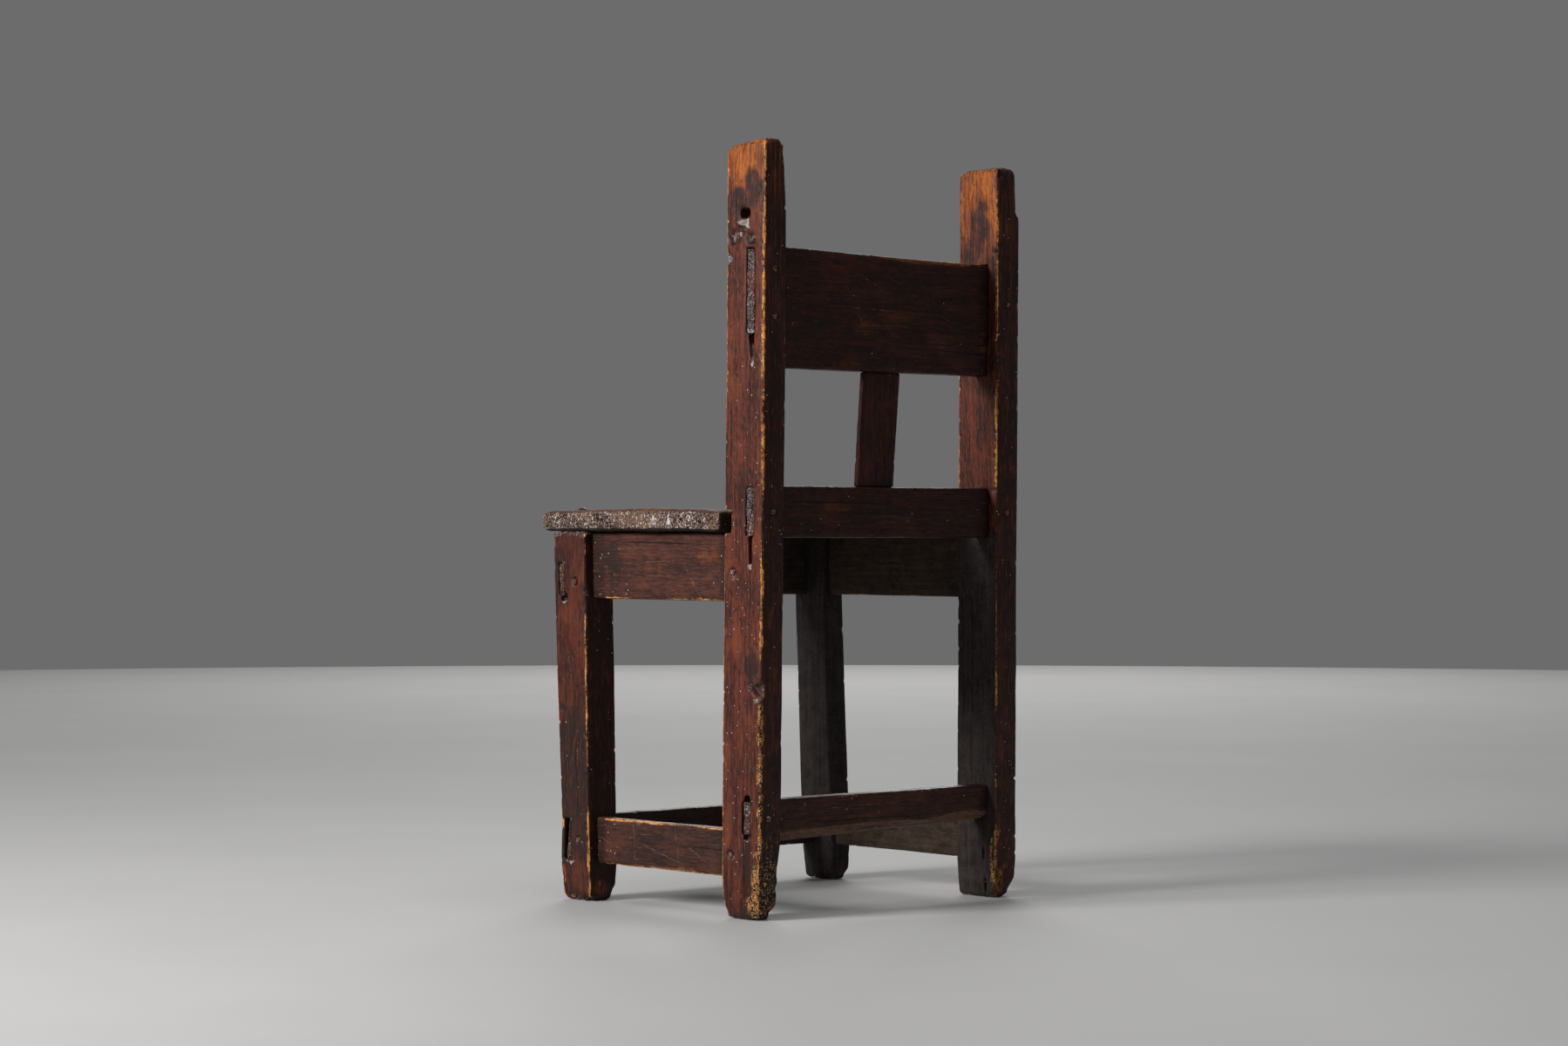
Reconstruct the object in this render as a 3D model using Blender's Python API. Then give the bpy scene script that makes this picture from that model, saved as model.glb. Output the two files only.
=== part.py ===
# A child's joined chair: posts, legs, rails and stretchers held by pegged mortise-and-tenon
# joints, with a splat back and a nailed seat board that is let into the rear posts.
# Metres, +Z up. The sitter faces -Y and has +X on the left hand.
# The origin is on the floor, in the middle of the chair's width and depth.

from math import cos, pi, sin

import bmesh
import bpy
from mathutils import Vector

# Fits shared by every joint
FIT_GAP = 0.0003                 # air between a tenon, peg, nail or board and its seat
TENON_PROUD = 0.0006             # a through tenon stands this far out of the post
OVERCUT = 0.006                  # how far a cutter runs past the face that it opens

# Rear posts
LEFT_POST_HEIGHT = 0.603
RIGHT_POST_LOSS = 0.0055         # the right post is worn down by this much more
LEFT_POST_WIDTH = 0.022
RIGHT_POST_WIDTH = 0.0245
POST_DEPTH = 0.0445
LEFT_POST_REACH = 0.141          # middle of the chair to the post's outer face, at the floor
RIGHT_POST_REACH = 0.142
POST_RAKE = 0.0090               # backward lean for each metre of height
POST_SPLAY = 0.0024              # inward lean for each metre of height
POST_ARRIS = 0.002
POST_CROWN = 0.005               # rounding of the worn post top
TOP_WEAR = 0.0035                # both tops are worn away on the sitter's right-hand side
LEFT_TOP_WEAR_LENGTH = 0.055
RIGHT_TOP_WEAR_LENGTH = 0.040

# Front legs
LEFT_LEG_WIDTH = 0.0295
RIGHT_LEG_WIDTH = 0.0205
LEFT_LEG_FOOT_DEPTH = 0.0335     # the left leg tapers down to its foot
LEFT_LEG_TOP_DEPTH = 0.041
RIGHT_LEG_DEPTH = 0.0384
LEFT_LEG_REACH = 0.145           # middle of the chair to the leg's outer face, at the floor
RIGHT_LEG_REACH = 0.1405
LEFT_LEG_RAKE = -0.0512          # the front faces lean forward as they rise
RIGHT_LEG_RAKE = -0.0378
LEG_SPLAY = 0.0027
LEG_TO_POST = 0.1897             # front of a leg to front of a post, along the floor
LEG_ARRIS = 0.002
LEG_TOP_EASE = 0.001

# Every foot
FOOT_WEAR = 0.0015               # the feet draw in towards the floor
FOOT_WEAR_HEIGHT = 0.030
FOOT_EASE = 0.0035

# Seat board
SEAT_UNDERSIDE = 0.2988
SEAT_THICKNESS = 0.0178
SEAT_SIDE_OVERHANG = 0.0005      # at the front corners, beyond the left leg's foot
SEAT_BOW = 0.0015                # the sides bow out by this much half way along,
SEAT_REAR_DRAW = 0.0035          # and draw in by this much at the posts
SEAT_OVERHANG = 0.0190           # beyond the front of the left leg
SEAT_CORNER = 0.012
SEAT_ROUND = 0.006               # rounding of the worn edge, above and below
SEAT_SHOULDER_GAP = 0.003        # open space between the shoulders and the posts
NOTCH_DEPTH = 0.0085             # housing in the front of each post for the seat's tongue
TONGUE_SETBACK = 0.0145          # the tongue stops short of the posts' outer faces
TONGUE_EASE = 0.001

# Crest rail
CREST_DROP = 0.084               # top of the left post down to the rail
CREST_HEIGHT = 0.0925
CREST_THICKNESS = 0.015
CREST_SETBACK = 0.010            # behind it, up to the posts' rear faces
CREST_TENON_DROP = 0.0255        # shoulder below the tenon
CREST_ARRIS = 0.002
CREST_PEG_RISE = 0.017           # two pegs on the left, above and
CREST_PEG_DROP = 0.020           # below the middle of the tenon

# Lower back rail
LOWER_RAIL_DROP = 0.0041         # from the seat's underside down to the rail's
LOWER_RAIL_HEIGHT = 0.0402
LOWER_RAIL_THICKNESS = 0.014
LOWER_RAIL_SETBACK = 0.009
LOWER_RAIL_ARRIS = 0.002
BACK_TENON_THICKNESS = 0.009     # tenons of the crest and the lower back rail
BACK_TENON_CHEEK = 0.001         # shoulder behind and above those tenons
LEFT_PEG_SETBACK = 0.0105        # from a tenon's shoulder to its peg
RIGHT_PEG_SETBACK = 0.013

# Splat between the two back rails
SPLAT_WIDTH = 0.0405
SPLAT_THICKNESS = 0.0055
SPLAT_SETBACK = 0.0155           # behind it, up to the posts' rear faces
SPLAT_TOP_SHIFT = -0.002         # the splat leans: middle of its top and
SPLAT_FOOT_SHIFT = 0.0044        # of its foot, beside the middle of the chair
SPLAT_TENON_DEPTH = 0.010
SPLAT_TENON_WIDTH = 0.034
SPLAT_TENON_THICKNESS = 0.0035
SPLAT_ARRIS = 0.0012

# Seat rails
SEAT_RAIL_HEIGHT = 0.053
SEAT_RAIL_TENON_DROP = 0.0135    # shoulder above a side rail's tenon
SEAT_RAIL_TENON_LIFT = 0.006     # shoulder below it
SEAT_RAIL_PEG_DROP = 0.009       # front peg below the middle of the tenon
FRONT_RAIL_SETBACK = 0.0045      # behind the front of the legs
FRONT_RAIL_THICKNESS = 0.012
FRONT_TENON_CHEEK = 0.002        # shoulder in front of a front tenon
FRONT_TENON_THICKNESS = 0.0065
FRONT_RAIL_TENON_DROP = 0.024
FRONT_RAIL_TENON_LIFT = 0.0015

# Side rails and side stretchers run from the front legs to the rear posts
LEFT_LEG_INSET = 0.0090          # outer face of each upright, at the floor, to theirs
RIGHT_LEG_INSET = 0.0045
LEFT_POST_INSET = 0.0089
RIGHT_POST_INSET = 0.0099
SIDE_THICKNESS = 0.012
SIDE_TENON_CHEEK = 0.0015
SIDE_TENON_THICKNESS = 0.007
BLIND_TENON_LENGTH = 0.019
LEG_PEG_SETBACK = 0.0130
POST_PEG_SETBACK = 0.011

# Stretchers
STRETCHER_BOTTOM = 0.0308        # side and front stretchers
STRETCHER_HEIGHT = 0.0375
STRETCHER_SHOULDER = 0.004       # above and below a tenon
FRONT_STRETCHER_SETBACK = 0.003
FRONT_STRETCHER_SHOULDER = 0.002
RAIL_ARRIS = 0.0015              # seat rails and stretchers
BACK_STRETCHER_TOP = 0.0925
BACK_STRETCHER_LEFT_HEIGHT = 0.0338
BACK_STRETCHER_RIGHT_HEIGHT = 0.0278
BACK_STRETCHER_SETBACK = 0.008
BACK_STRETCHER_THICKNESS = 0.017
BACK_STRETCHER_CHAMFER = 0.004   # depth of the chamfer under the rear face
BACK_STRETCHER_FACE = 0.0235     # height of the rear face above that chamfer
BACK_STRETCHER_TENON = 0.0085
BACK_STRETCHER_SHOULDER = 0.001
STRETCHER_PEG_SETBACK = 0.0125

# Pegs and nails
PEG_DIAMETER = 0.0048
PEG_PROUD = 0.0008
PEG_BITE = 0.0025                # how far a peg goes on past its tenon
PEG_TIP = 0.0012                 # length of the chamfered tip
PEG_TIP_DIAMETER = 0.0036
NAIL_HEAD = 0.0085
NAIL_HEAD_RIM = 0.0008           # thickness of the head at its rim
NAIL_HEAD_RISE = 0.0022          # and at its middle
NAIL_HEAD_FLAT = 0.0020          # the last hammer blow, on top
NAIL_SHANK = 0.0030              # side of the square shank under the head
NAIL_POINT = 0.0012
NAIL_HOLD = 0.010                # how far the nail goes into the leg

# Facets
ROUNDING_STEPS = 3
CORNER_STEPS = 6
SIDE_STEPS = 10
PEG_SIDES = 12
NAIL_SIDES = 8
SHARP_ANGLE = pi / 5

SEAT_TOP = SEAT_UNDERSIDE + SEAT_THICKNESS
FRAME_TOP = SEAT_UNDERSIDE - FIT_GAP
SEAT_RAIL_BOTTOM = FRAME_TOP - SEAT_RAIL_HEIGHT
LOWER_RAIL_BOTTOM = SEAT_UNDERSIDE - LOWER_RAIL_DROP
LOWER_RAIL_TOP = LOWER_RAIL_BOTTOM + LOWER_RAIL_HEIGHT
CREST_TOP = LEFT_POST_HEIGHT - CREST_DROP
CREST_BOTTOM = CREST_TOP - CREST_HEIGHT
RIGHT_POST_HEIGHT = LEFT_POST_HEIGHT - RIGHT_POST_LOSS
SEAT_FRONT_HALF = LEFT_LEG_REACH + SEAT_SIDE_OVERHANG
SEAT_MIDDLE_HALF = SEAT_FRONT_HALF + SEAT_BOW
SEAT_REAR_HALF = SEAT_FRONT_HALF - SEAT_REAR_DRAW
LEFT, RIGHT = 1, -1


class Upright:
    """A leaning post or leg, as the planes of its four faces."""

    def __init__(self, name, side, reach, width, rail_inset, foot_depth, top_depth,
                 foot_front, rake, splay, height):
        self.name = name
        self.side = side
        self.reach = reach
        self.width = width
        self.rail_reach = reach - rail_inset
        self.foot_depth = foot_depth
        self.top_depth = top_depth
        self.foot_front = foot_front
        self.rake = rake
        self.splay = splay
        self.height = height
        self.sockets = []

    def outer(self, z):
        return self.side * (self.reach - self.splay * z)

    def inner(self, z):
        return self.outer(z) - self.side * self.width

    def front(self, z):
        return self.foot_front + self.rake * z

    def depth(self, z):
        return self.foot_depth + (self.top_depth - self.foot_depth) * z / self.height

    def rear(self, z):
        return self.front(z) + self.depth(z)

    def shoulder(self, z):
        return self.inner(z) - self.side * FIT_GAP

    def tenon_end(self, z):
        return self.outer(z) + self.side * TENON_PROUD

    def beyond_inner(self, z):
        return self.inner(z) - self.side * OVERCUT

    def beyond_outer(self, z):
        return self.outer(z) + self.side * OVERCUT


def leg_front_at_floor():
    """Y that puts the origin midway between the seat's front edge and the backs of the posts."""
    seat_front = LEFT_LEG_RAKE * SEAT_UNDERSIDE - SEAT_OVERHANG
    post_back = LEG_TO_POST + POST_DEPTH + POST_RAKE * (LEFT_POST_HEIGHT - POST_CROWN)
    return -(seat_front + post_back) / 2


def make_uprights():
    leg_front = leg_front_at_floor()
    post_front = leg_front + LEG_TO_POST
    return {
        "left_post": Upright("left_rear_post", LEFT, LEFT_POST_REACH, LEFT_POST_WIDTH,
                             LEFT_POST_INSET, POST_DEPTH, POST_DEPTH,
                             post_front, POST_RAKE, POST_SPLAY, LEFT_POST_HEIGHT),
        "right_post": Upright("right_rear_post", RIGHT, RIGHT_POST_REACH, RIGHT_POST_WIDTH,
                              RIGHT_POST_INSET, POST_DEPTH, POST_DEPTH,
                              post_front, POST_RAKE, POST_SPLAY, RIGHT_POST_HEIGHT),
        "left_leg": Upright("left_front_leg", LEFT, LEFT_LEG_REACH, LEFT_LEG_WIDTH,
                            LEFT_LEG_INSET, LEFT_LEG_FOOT_DEPTH, LEFT_LEG_TOP_DEPTH,
                            leg_front, LEFT_LEG_RAKE, LEG_SPLAY, FRAME_TOP),
        "right_leg": Upright("right_front_leg", RIGHT, RIGHT_LEG_REACH, RIGHT_LEG_WIDTH,
                             RIGHT_LEG_INSET, RIGHT_LEG_DEPTH, RIGHT_LEG_DEPTH,
                             leg_front, RIGHT_LEG_RAKE, LEG_SPLAY, FRAME_TOP),
    }


def clear_scene():
    for obj in list(bpy.data.objects):
        bpy.data.objects.remove(obj, do_unlink=True)


def finish(name, colour, roughness, metallic=0.0):
    material = bpy.data.materials.new(name)
    material.use_nodes = True
    shader = material.node_tree.nodes["Principled BSDF"]
    shader.inputs["Base Color"].default_value = (*colour, 1.0)
    shader.inputs["Roughness"].default_value = roughness
    shader.inputs["Metallic"].default_value = metallic
    return material


def make_finishes():
    return {
        "upright": finish("stained_posts_and_legs", (0.110, 0.034, 0.018), 0.55),
        "back": finish("stained_back_rails", (0.060, 0.020, 0.013), 0.50),
        "rail": finish("stained_rails", (0.085, 0.030, 0.018), 0.60),
        "seat": finish("worn_seat_board", (0.130, 0.075, 0.045), 0.65),
        "peg": finish("peg_wood", (0.160, 0.070, 0.030), 0.60),
        "nail": finish("dark_iron", (0.045, 0.040, 0.038), 0.55, 0.9),
    }


def rectangle(near, far, low, high):
    """Corners of a member's section, as (distance behind the upright's front face, height)."""
    return [(near, low), (far, low), (far, high), (near, high)]


def grow(section, gap):
    """The section of the socket for a tenon: the tenon's own, larger by the gap all round."""
    middle_y = sum(y for y, z in section) / len(section)
    middle_z = sum(z for y, z in section) / len(section)
    return [(y + gap * ((y > middle_y) - (y < middle_y)), z + gap * ((z > middle_z) - (z < middle_z)))
            for y, z in section]


def cross_ring(face, upright, section):
    """A section of a member that runs from side to side, laid on one leaning plane."""
    return [Vector((face(z), upright.front(z) + y, z)) for y, z in section]


def add_loft(bm, rings):
    """Joins the rings in order and closes both ends. Gives back the rings' vertices."""
    loops = [[bm.verts.new(point) for point in ring] for ring in rings]
    for near, far in zip(loops, loops[1:]):
        for i in range(len(near)):
            j = (i + 1) % len(near)
            bm.faces.new((near[i], near[j], far[j], far[i]))
    bm.faces.new(loops[0])
    bm.faces.new(loops[-1])
    return loops


def mark_bevels(bm, loops, long_widths, loop_widths):
    """Writes bevel weights on edges along the member and around it, and gives the full width."""
    layer = bm.edges.layers.float.new("bevel_weight_edge")
    widest = max([*long_widths.values(), *loop_widths.values()])
    for step, width in long_widths.items():
        for near, far in zip(loops[step], loops[step + 1]):
            bm.edges.get((near, far))[layer] = width / widest
    for step, width in loop_widths.items():
        ring = loops[step]
        for i, vert in enumerate(ring):
            bm.edges.get((vert, ring[i - 1]))[layer] = width / widest
    return widest


def place(name, bm, origin, material, parent):
    bmesh.ops.recalc_face_normals(bm, faces=bm.faces)
    bmesh.ops.translate(bm, verts=bm.verts, vec=-origin)
    mesh = bpy.data.meshes.new(name)
    bm.to_mesh(mesh)
    bm.free()
    obj = bpy.data.objects.new(name, mesh)
    bpy.context.collection.objects.link(obj)
    obj.location = origin
    obj.parent = parent
    if material:
        mesh.materials.append(material)
    return obj


def round_edges(obj, width, steps=ROUNDING_STEPS):
    bevel = obj.modifiers.new("worn_edges", "BEVEL")
    bevel.limit_method = "WEIGHT"
    bevel.width = width
    bevel.segments = steps
    bevel.use_clamp_overlap = False


def cut(obj, cutter):
    boolean = obj.modifiers.new(cutter.name, "BOOLEAN")
    boolean.operation = "DIFFERENCE"
    boolean.solver = "EXACT"
    boolean.object = cutter


def make_cutter(name, solids, parent):
    """One hidden object that holds several separate solids to be cut away."""
    bm = bmesh.new()
    for rings in solids:
        add_loft(bm, rings)
    cutter = place(name, bm, Vector((0, 0, 0)), None, parent)
    cutter.hide_render = True
    cutter.display_type = "WIRE"
    return cutter


def middle(points):
    return sum(points, Vector((0, 0, 0))) / len(points)


def make_member(name, rings, arris, material, parent):
    """A rail: tenon, shoulder, body, shoulder, tenon. The body is the stretch with eased edges."""
    bm = bmesh.new()
    loops = add_loft(bm, rings)
    width = mark_bevels(bm, loops, {2: arris}, {})
    obj = place(name, bm, middle([*rings[0], *rings[-1]]), material, parent)
    round_edges(obj, width, ROUNDING_STEPS - 1)
    return obj


def make_cross_member(name, left, right, body, tenon, arris, material, parent):
    """A member between two uprights whose tenons go right through them. Body holds a section
    for each end, which may differ. The sockets are handed to the uprights."""
    rings = [
        cross_ring(left.tenon_end, left, tenon),
        cross_ring(left.shoulder, left, tenon),
        cross_ring(left.shoulder, left, body[0]),
        cross_ring(right.shoulder, right, body[1]),
        cross_ring(right.shoulder, right, tenon),
        cross_ring(right.tenon_end, right, tenon),
    ]
    socket = grow(tenon, FIT_GAP)
    for upright in (left, right):
        upright.sockets.append([
            cross_ring(upright.beyond_inner, upright, socket),
            cross_ring(upright.beyond_outer, upright, socket),
        ])
    return make_member(name, rings, arris, material, parent)


def side_ring(side, depth_at, leg, post, section):
    """A section of a member that runs from front to back, converging towards the posts."""
    ring = []
    for inset, z in section:
        y = depth_at(z)
        share = (y - leg.rear(z)) / (post.front(z) - leg.rear(z))
        outer = leg.rail_reach + share * (post.rail_reach - leg.rail_reach)
        ring.append(Vector((side * (outer - inset), y, z)))
    return ring


def make_side_member(name, leg, post, low, high, tenon_low, tenon_high, material, parent):
    """A member with a blind tenon in a front leg and another in a rear post."""
    body = rectangle(0, SIDE_THICKNESS, low, high)
    tenon = rectangle(SIDE_TENON_CHEEK, SIDE_TENON_CHEEK + SIDE_TENON_THICKNESS, tenon_low, tenon_high)
    socket = grow(tenon, FIT_GAP)

    def ring(depth_at, section):
        return side_ring(leg.side, depth_at, leg, post, section)

    def at_leg(beyond):
        return lambda z: leg.rear(z) + beyond

    def at_post(beyond):
        return lambda z: post.front(z) + beyond

    rings = [
        ring(at_leg(-BLIND_TENON_LENGTH), tenon),
        ring(at_leg(FIT_GAP), tenon),
        ring(at_leg(FIT_GAP), body),
        ring(at_post(-FIT_GAP), body),
        ring(at_post(-FIT_GAP), tenon),
        ring(at_post(BLIND_TENON_LENGTH), tenon),
    ]
    socket_end = BLIND_TENON_LENGTH + FIT_GAP
    leg.sockets.append([ring(at_leg(-socket_end), socket), ring(at_leg(OVERCUT), socket)])
    post.sockets.append([ring(at_post(socket_end), socket), ring(at_post(-OVERCUT), socket)])
    return make_member(name, rings, RAIL_ARRIS, material, parent)


def splat_ring(post, z, width, thickness):
    """A level section of the splat, which leans sideways between its foot and its top."""
    share = (z - LOWER_RAIL_TOP) / (CREST_BOTTOM - LOWER_RAIL_TOP)
    x = SPLAT_FOOT_SHIFT + share * (SPLAT_TOP_SHIFT - SPLAT_FOOT_SHIFT)
    y = post.rear(z) - SPLAT_SETBACK - SPLAT_THICKNESS / 2
    corners = ((-1, -1), (1, -1), (1, 1), (-1, 1))
    return [Vector((x + i * width / 2, y + j * thickness / 2, z)) for i, j in corners]


def make_splat(post, material, parent):
    """The splat with a stub tenon at each end. Gives back the cutter for the rails' mortises."""
    levels = (LOWER_RAIL_TOP - SPLAT_TENON_DEPTH, LOWER_RAIL_TOP + FIT_GAP,
              CREST_BOTTOM - FIT_GAP, CREST_BOTTOM + SPLAT_TENON_DEPTH)
    tenon = (SPLAT_TENON_WIDTH, SPLAT_TENON_THICKNESS)
    body = (SPLAT_WIDTH, SPLAT_THICKNESS)
    steps = ((levels[0], tenon), (levels[1], tenon), (levels[1], body),
             (levels[2], body), (levels[2], tenon), (levels[3], tenon))
    rings = [splat_ring(post, z, *size) for z, size in steps]
    make_member("back_splat", rings, SPLAT_ARRIS, material, parent)

    socket = (SPLAT_TENON_WIDTH + 2 * FIT_GAP, SPLAT_TENON_THICKNESS + 2 * FIT_GAP)
    below = [splat_ring(post, z, *socket) for z in (levels[0] - FIT_GAP, LOWER_RAIL_TOP + OVERCUT)]
    above = [splat_ring(post, z, *socket) for z in (CREST_BOTTOM - OVERCUT, levels[3] + FIT_GAP)]
    return make_cutter("splat_mortises", [below, above], parent)


def upright_ring(upright, z, worn_right=0.0, worn_left=0.0, worn_depth=0.0):
    """A level section of an upright, less what is worn off its sides, front and back."""
    left_x, right_x = sorted((upright.outer(z), upright.inner(z)), reverse=True)
    left_x -= worn_left
    right_x += worn_right
    front_y = upright.front(z) + worn_depth
    rear_y = upright.rear(z) - worn_depth
    return [Vector((left_x, front_y, z)), Vector((right_x, front_y, z)),
            Vector((right_x, rear_y, z)), Vector((left_x, rear_y, z))]


def make_upright(upright, top_rings, arris, top_width, material, parent):
    """An upright from its drawn-in foot to the rings at its top, with all its mortises."""
    bm = bmesh.new()
    rings = [upright_ring(upright, 0, FOOT_WEAR, FOOT_WEAR, FOOT_WEAR),
             upright_ring(upright, FOOT_WEAR_HEIGHT), *top_rings]
    loops = add_loft(bm, rings)
    long_edges = {step: arris for step in range(len(rings) - 1)}
    width = mark_bevels(bm, loops, long_edges, {0: FOOT_EASE, len(rings) - 1: top_width})
    obj = place(upright.name, bm, middle(rings[0]), material, parent)
    round_edges(obj, width)
    cut(obj, make_cutter(upright.name + "_mortises", upright.sockets, parent))
    return obj


def make_post(post, wear_length, material, parent):
    tops = [upright_ring(post, post.height - wear_length), upright_ring(post, post.height, TOP_WEAR)]
    return make_upright(post, tops, POST_ARRIS, POST_CROWN, material, parent)


def make_leg(leg, material, parent):
    return make_upright(leg, [upright_ring(leg, leg.height)], LEG_ARRIS, LEG_TOP_EASE, material, parent)


def seat_notch(post):
    """The housing across the front of a post for the tongue of the seat."""
    low = SEAT_UNDERSIDE - FIT_GAP
    high = SEAT_TOP + FIT_GAP
    section = rectangle(-OVERCUT, NOTCH_DEPTH, low, high)
    return [cross_ring(post.beyond_inner, post, section), cross_ring(post.beyond_outer, post, section)]


def arc(centre_x, centre_y, radius, start, end, steps):
    angles = [start + (end - start) * i / steps for i in range(steps + 1)]
    return [(centre_x + radius * cos(angle), centre_y + radius * sin(angle)) for angle in angles]


def bowed_side(front_y, rear_y):
    """Points along a side of the seat, on the parabola through its three half widths."""
    points = []
    for i in range(SIDE_STEPS + 1):
        t = i / SIDE_STEPS
        x = (SEAT_FRONT_HALF * (1 - t) * (1 - 2 * t) + SEAT_MIDDLE_HALF * 4 * t * (1 - t)
             + SEAT_REAR_HALF * t * (2 * t - 1))
        points.append((x, front_y + t * (rear_y - front_y)))
    return points


def make_seat(leg, post, material, parent):
    front = leg.front(SEAT_UNDERSIDE) - SEAT_OVERHANG
    shoulder = post.front(SEAT_UNDERSIDE) - SEAT_SHOULDER_GAP
    tongue_end = post.front(SEAT_UNDERSIDE) + NOTCH_DEPTH - FIT_GAP
    tongue_half = abs(post.outer(SEAT_TOP)) - TONGUE_SETBACK

    corner = arc(SEAT_FRONT_HALF - SEAT_CORNER, front + SEAT_CORNER, SEAT_CORNER, -pi / 2, 0, CORNER_STEPS)
    half = [*corner[:-1], *bowed_side(front + SEAT_CORNER, shoulder),
            (tongue_half, shoulder), (tongue_half, tongue_end)]
    outline = half + [(-x, y) for x, y in reversed(half)]

    bm = bmesh.new()
    levels = (SEAT_UNDERSIDE, SEAT_TOP)
    loops = add_loft(bm, [[Vector((x, y, z)) for x, y in outline] for z in levels])
    layer = bm.edges.layers.float.new("bevel_weight_edge")
    for ring in loops:
        for i, vert in enumerate(ring):
            edge = bm.edges.get((vert, ring[i - 1]))
            on_tongue = max(v.co.y for v in edge.verts) > shoulder + TONGUE_EASE
            edge[layer] = TONGUE_EASE / SEAT_ROUND if on_tongue else 1.0
    seat = place("seat_board", bm, Vector((0, (front + shoulder) / 2, SEAT_UNDERSIDE)), material, parent)
    round_edges(seat, SEAT_ROUND)
    return seat


def round_section(radius, sides, level):
    return [Vector((radius * cos(2 * pi * i / sides), radius * sin(2 * pi * i / sides), level))
            for i in range(sides)]


def peg_rings(length):
    """A peg along +Z: a chamfered tip at the bottom of its hole and a low domed head."""
    radius = PEG_DIAMETER / 2
    profile = ((PEG_TIP_DIAMETER / 2, -length), (radius, PEG_TIP - length), (radius, 0),
               (radius * cos(pi / 6), PEG_PROUD * sin(pi / 3)), (radius * cos(pi / 3), PEG_PROUD))
    return [round_section(r, PEG_SIDES, level) for r, level in profile]


class PegBoard:
    """Drives the pegs, and keeps the holes that they need for every piece that they hold."""

    def __init__(self, material, parent):
        self.material = material
        self.parent = parent
        self.holes = []

    def drive(self, name, mouth, outward, tenon_far):
        """A peg at the mouth of its hole, long enough to pass a tenon that ends tenon_far below."""
        length = tenon_far + PEG_BITE
        turn = Vector((0, 0, 1)).rotation_difference(outward)
        bm = bmesh.new()
        add_loft(bm, peg_rings(length))
        peg = place(name, bm, Vector((0, 0, 0)), self.material, self.parent)
        peg.location = mouth
        peg.rotation_euler = turn.to_euler()
        peg.data.shade_smooth()
        peg.data.set_sharp_from_angle(angle=SHARP_ANGLE)
        bore = PEG_DIAMETER / 2 + FIT_GAP
        ends = [round_section(bore, PEG_SIDES, level) for level in (-length - FIT_GAP, OVERCUT)]
        self.holes.append([[mouth + turn @ point for point in ring] for ring in ends])


def peg_cross_joint(pegs, name, upright, tenon, rise, setback, from_rear):
    """A peg across a through tenon, from the upright's rear or front face."""
    z = (tenon[0][1] + tenon[2][1]) / 2 + rise
    x = upright.inner(z) + upright.side * setback
    if from_rear:
        pegs.drive(name, Vector((x, upright.rear(z), z)), Vector((0, 1, 0)), upright.depth(z) - tenon[0][0])
    else:
        pegs.drive(name, Vector((x, upright.front(z), z)), Vector((0, -1, 0)), tenon[1][0])


def peg_side_joints(pegs, name, leg, post, z_leg, z_post):
    """Pegs across the two blind tenons of a side member, from the outer faces."""
    places = (("front", leg, leg.rear(z_leg) - LEG_PEG_SETBACK, z_leg),
              ("rear", post, post.front(z_post) + POST_PEG_SETBACK, z_post))
    inner_cheek = SIDE_TENON_CHEEK + SIDE_TENON_THICKNESS
    for end, upright, y, z in places:
        tenon_ring = side_ring(leg.side, lambda height: y, leg, post, [(inner_cheek, z)])
        mouth = Vector((upright.outer(z), y, z))
        pegs.drive(f"{name}_peg_{end}", mouth, Vector((leg.side, 0, 0)), abs(mouth.x - tenon_ring[0].x))


def square_section(side, level):
    """A square with a point at each corner and half way along each side, to meet a round head."""
    half = side / 2
    around = ((1, 0), (1, 1), (0, 1), (-1, 1), (-1, 0), (-1, -1), (0, -1), (1, -1))
    return [Vector((half * i, half * j, level)) for i, j in around]


def make_nail(name, leg, material, parent):
    """A forged nail with a square tapering shank and a rose head. Gives back the rings of its hole."""
    length = SEAT_THICKNESS + NAIL_HOLD
    side = abs(leg.outer(SEAT_TOP)) - leg.width / 2
    top = Vector((leg.side * side, (leg.front(FRAME_TOP) + leg.rear(FRAME_TOP)) / 2, SEAT_TOP))
    under_head = FIT_GAP
    rings = [
        square_section(NAIL_POINT, -length),
        square_section(NAIL_SHANK, under_head),
        round_section(NAIL_HEAD / 2, NAIL_SIDES, under_head),
        round_section(NAIL_HEAD / 2, NAIL_SIDES, under_head + NAIL_HEAD_RIM),
        round_section(NAIL_HEAD_FLAT / 2, NAIL_SIDES, under_head + NAIL_HEAD_RISE),
    ]
    bm = bmesh.new()
    add_loft(bm, rings)
    nail = place(name, bm, Vector((0, 0, 0)), material, parent)
    nail.location = top
    slope = (NAIL_SHANK - NAIL_POINT) / (length + under_head)
    hole = [square_section(NAIL_POINT + 2 * FIT_GAP, -length - FIT_GAP),
            square_section(NAIL_SHANK + 2 * FIT_GAP + slope * OVERCUT, OVERCUT)]
    return [[top + point for point in ring] for ring in hole]


def from_rear_face(setback, thickness, low, high):
    """A section placed by its distance ahead of the posts' rear faces."""
    far = POST_DEPTH - setback
    return rectangle(far - thickness, far, low, high)


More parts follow.
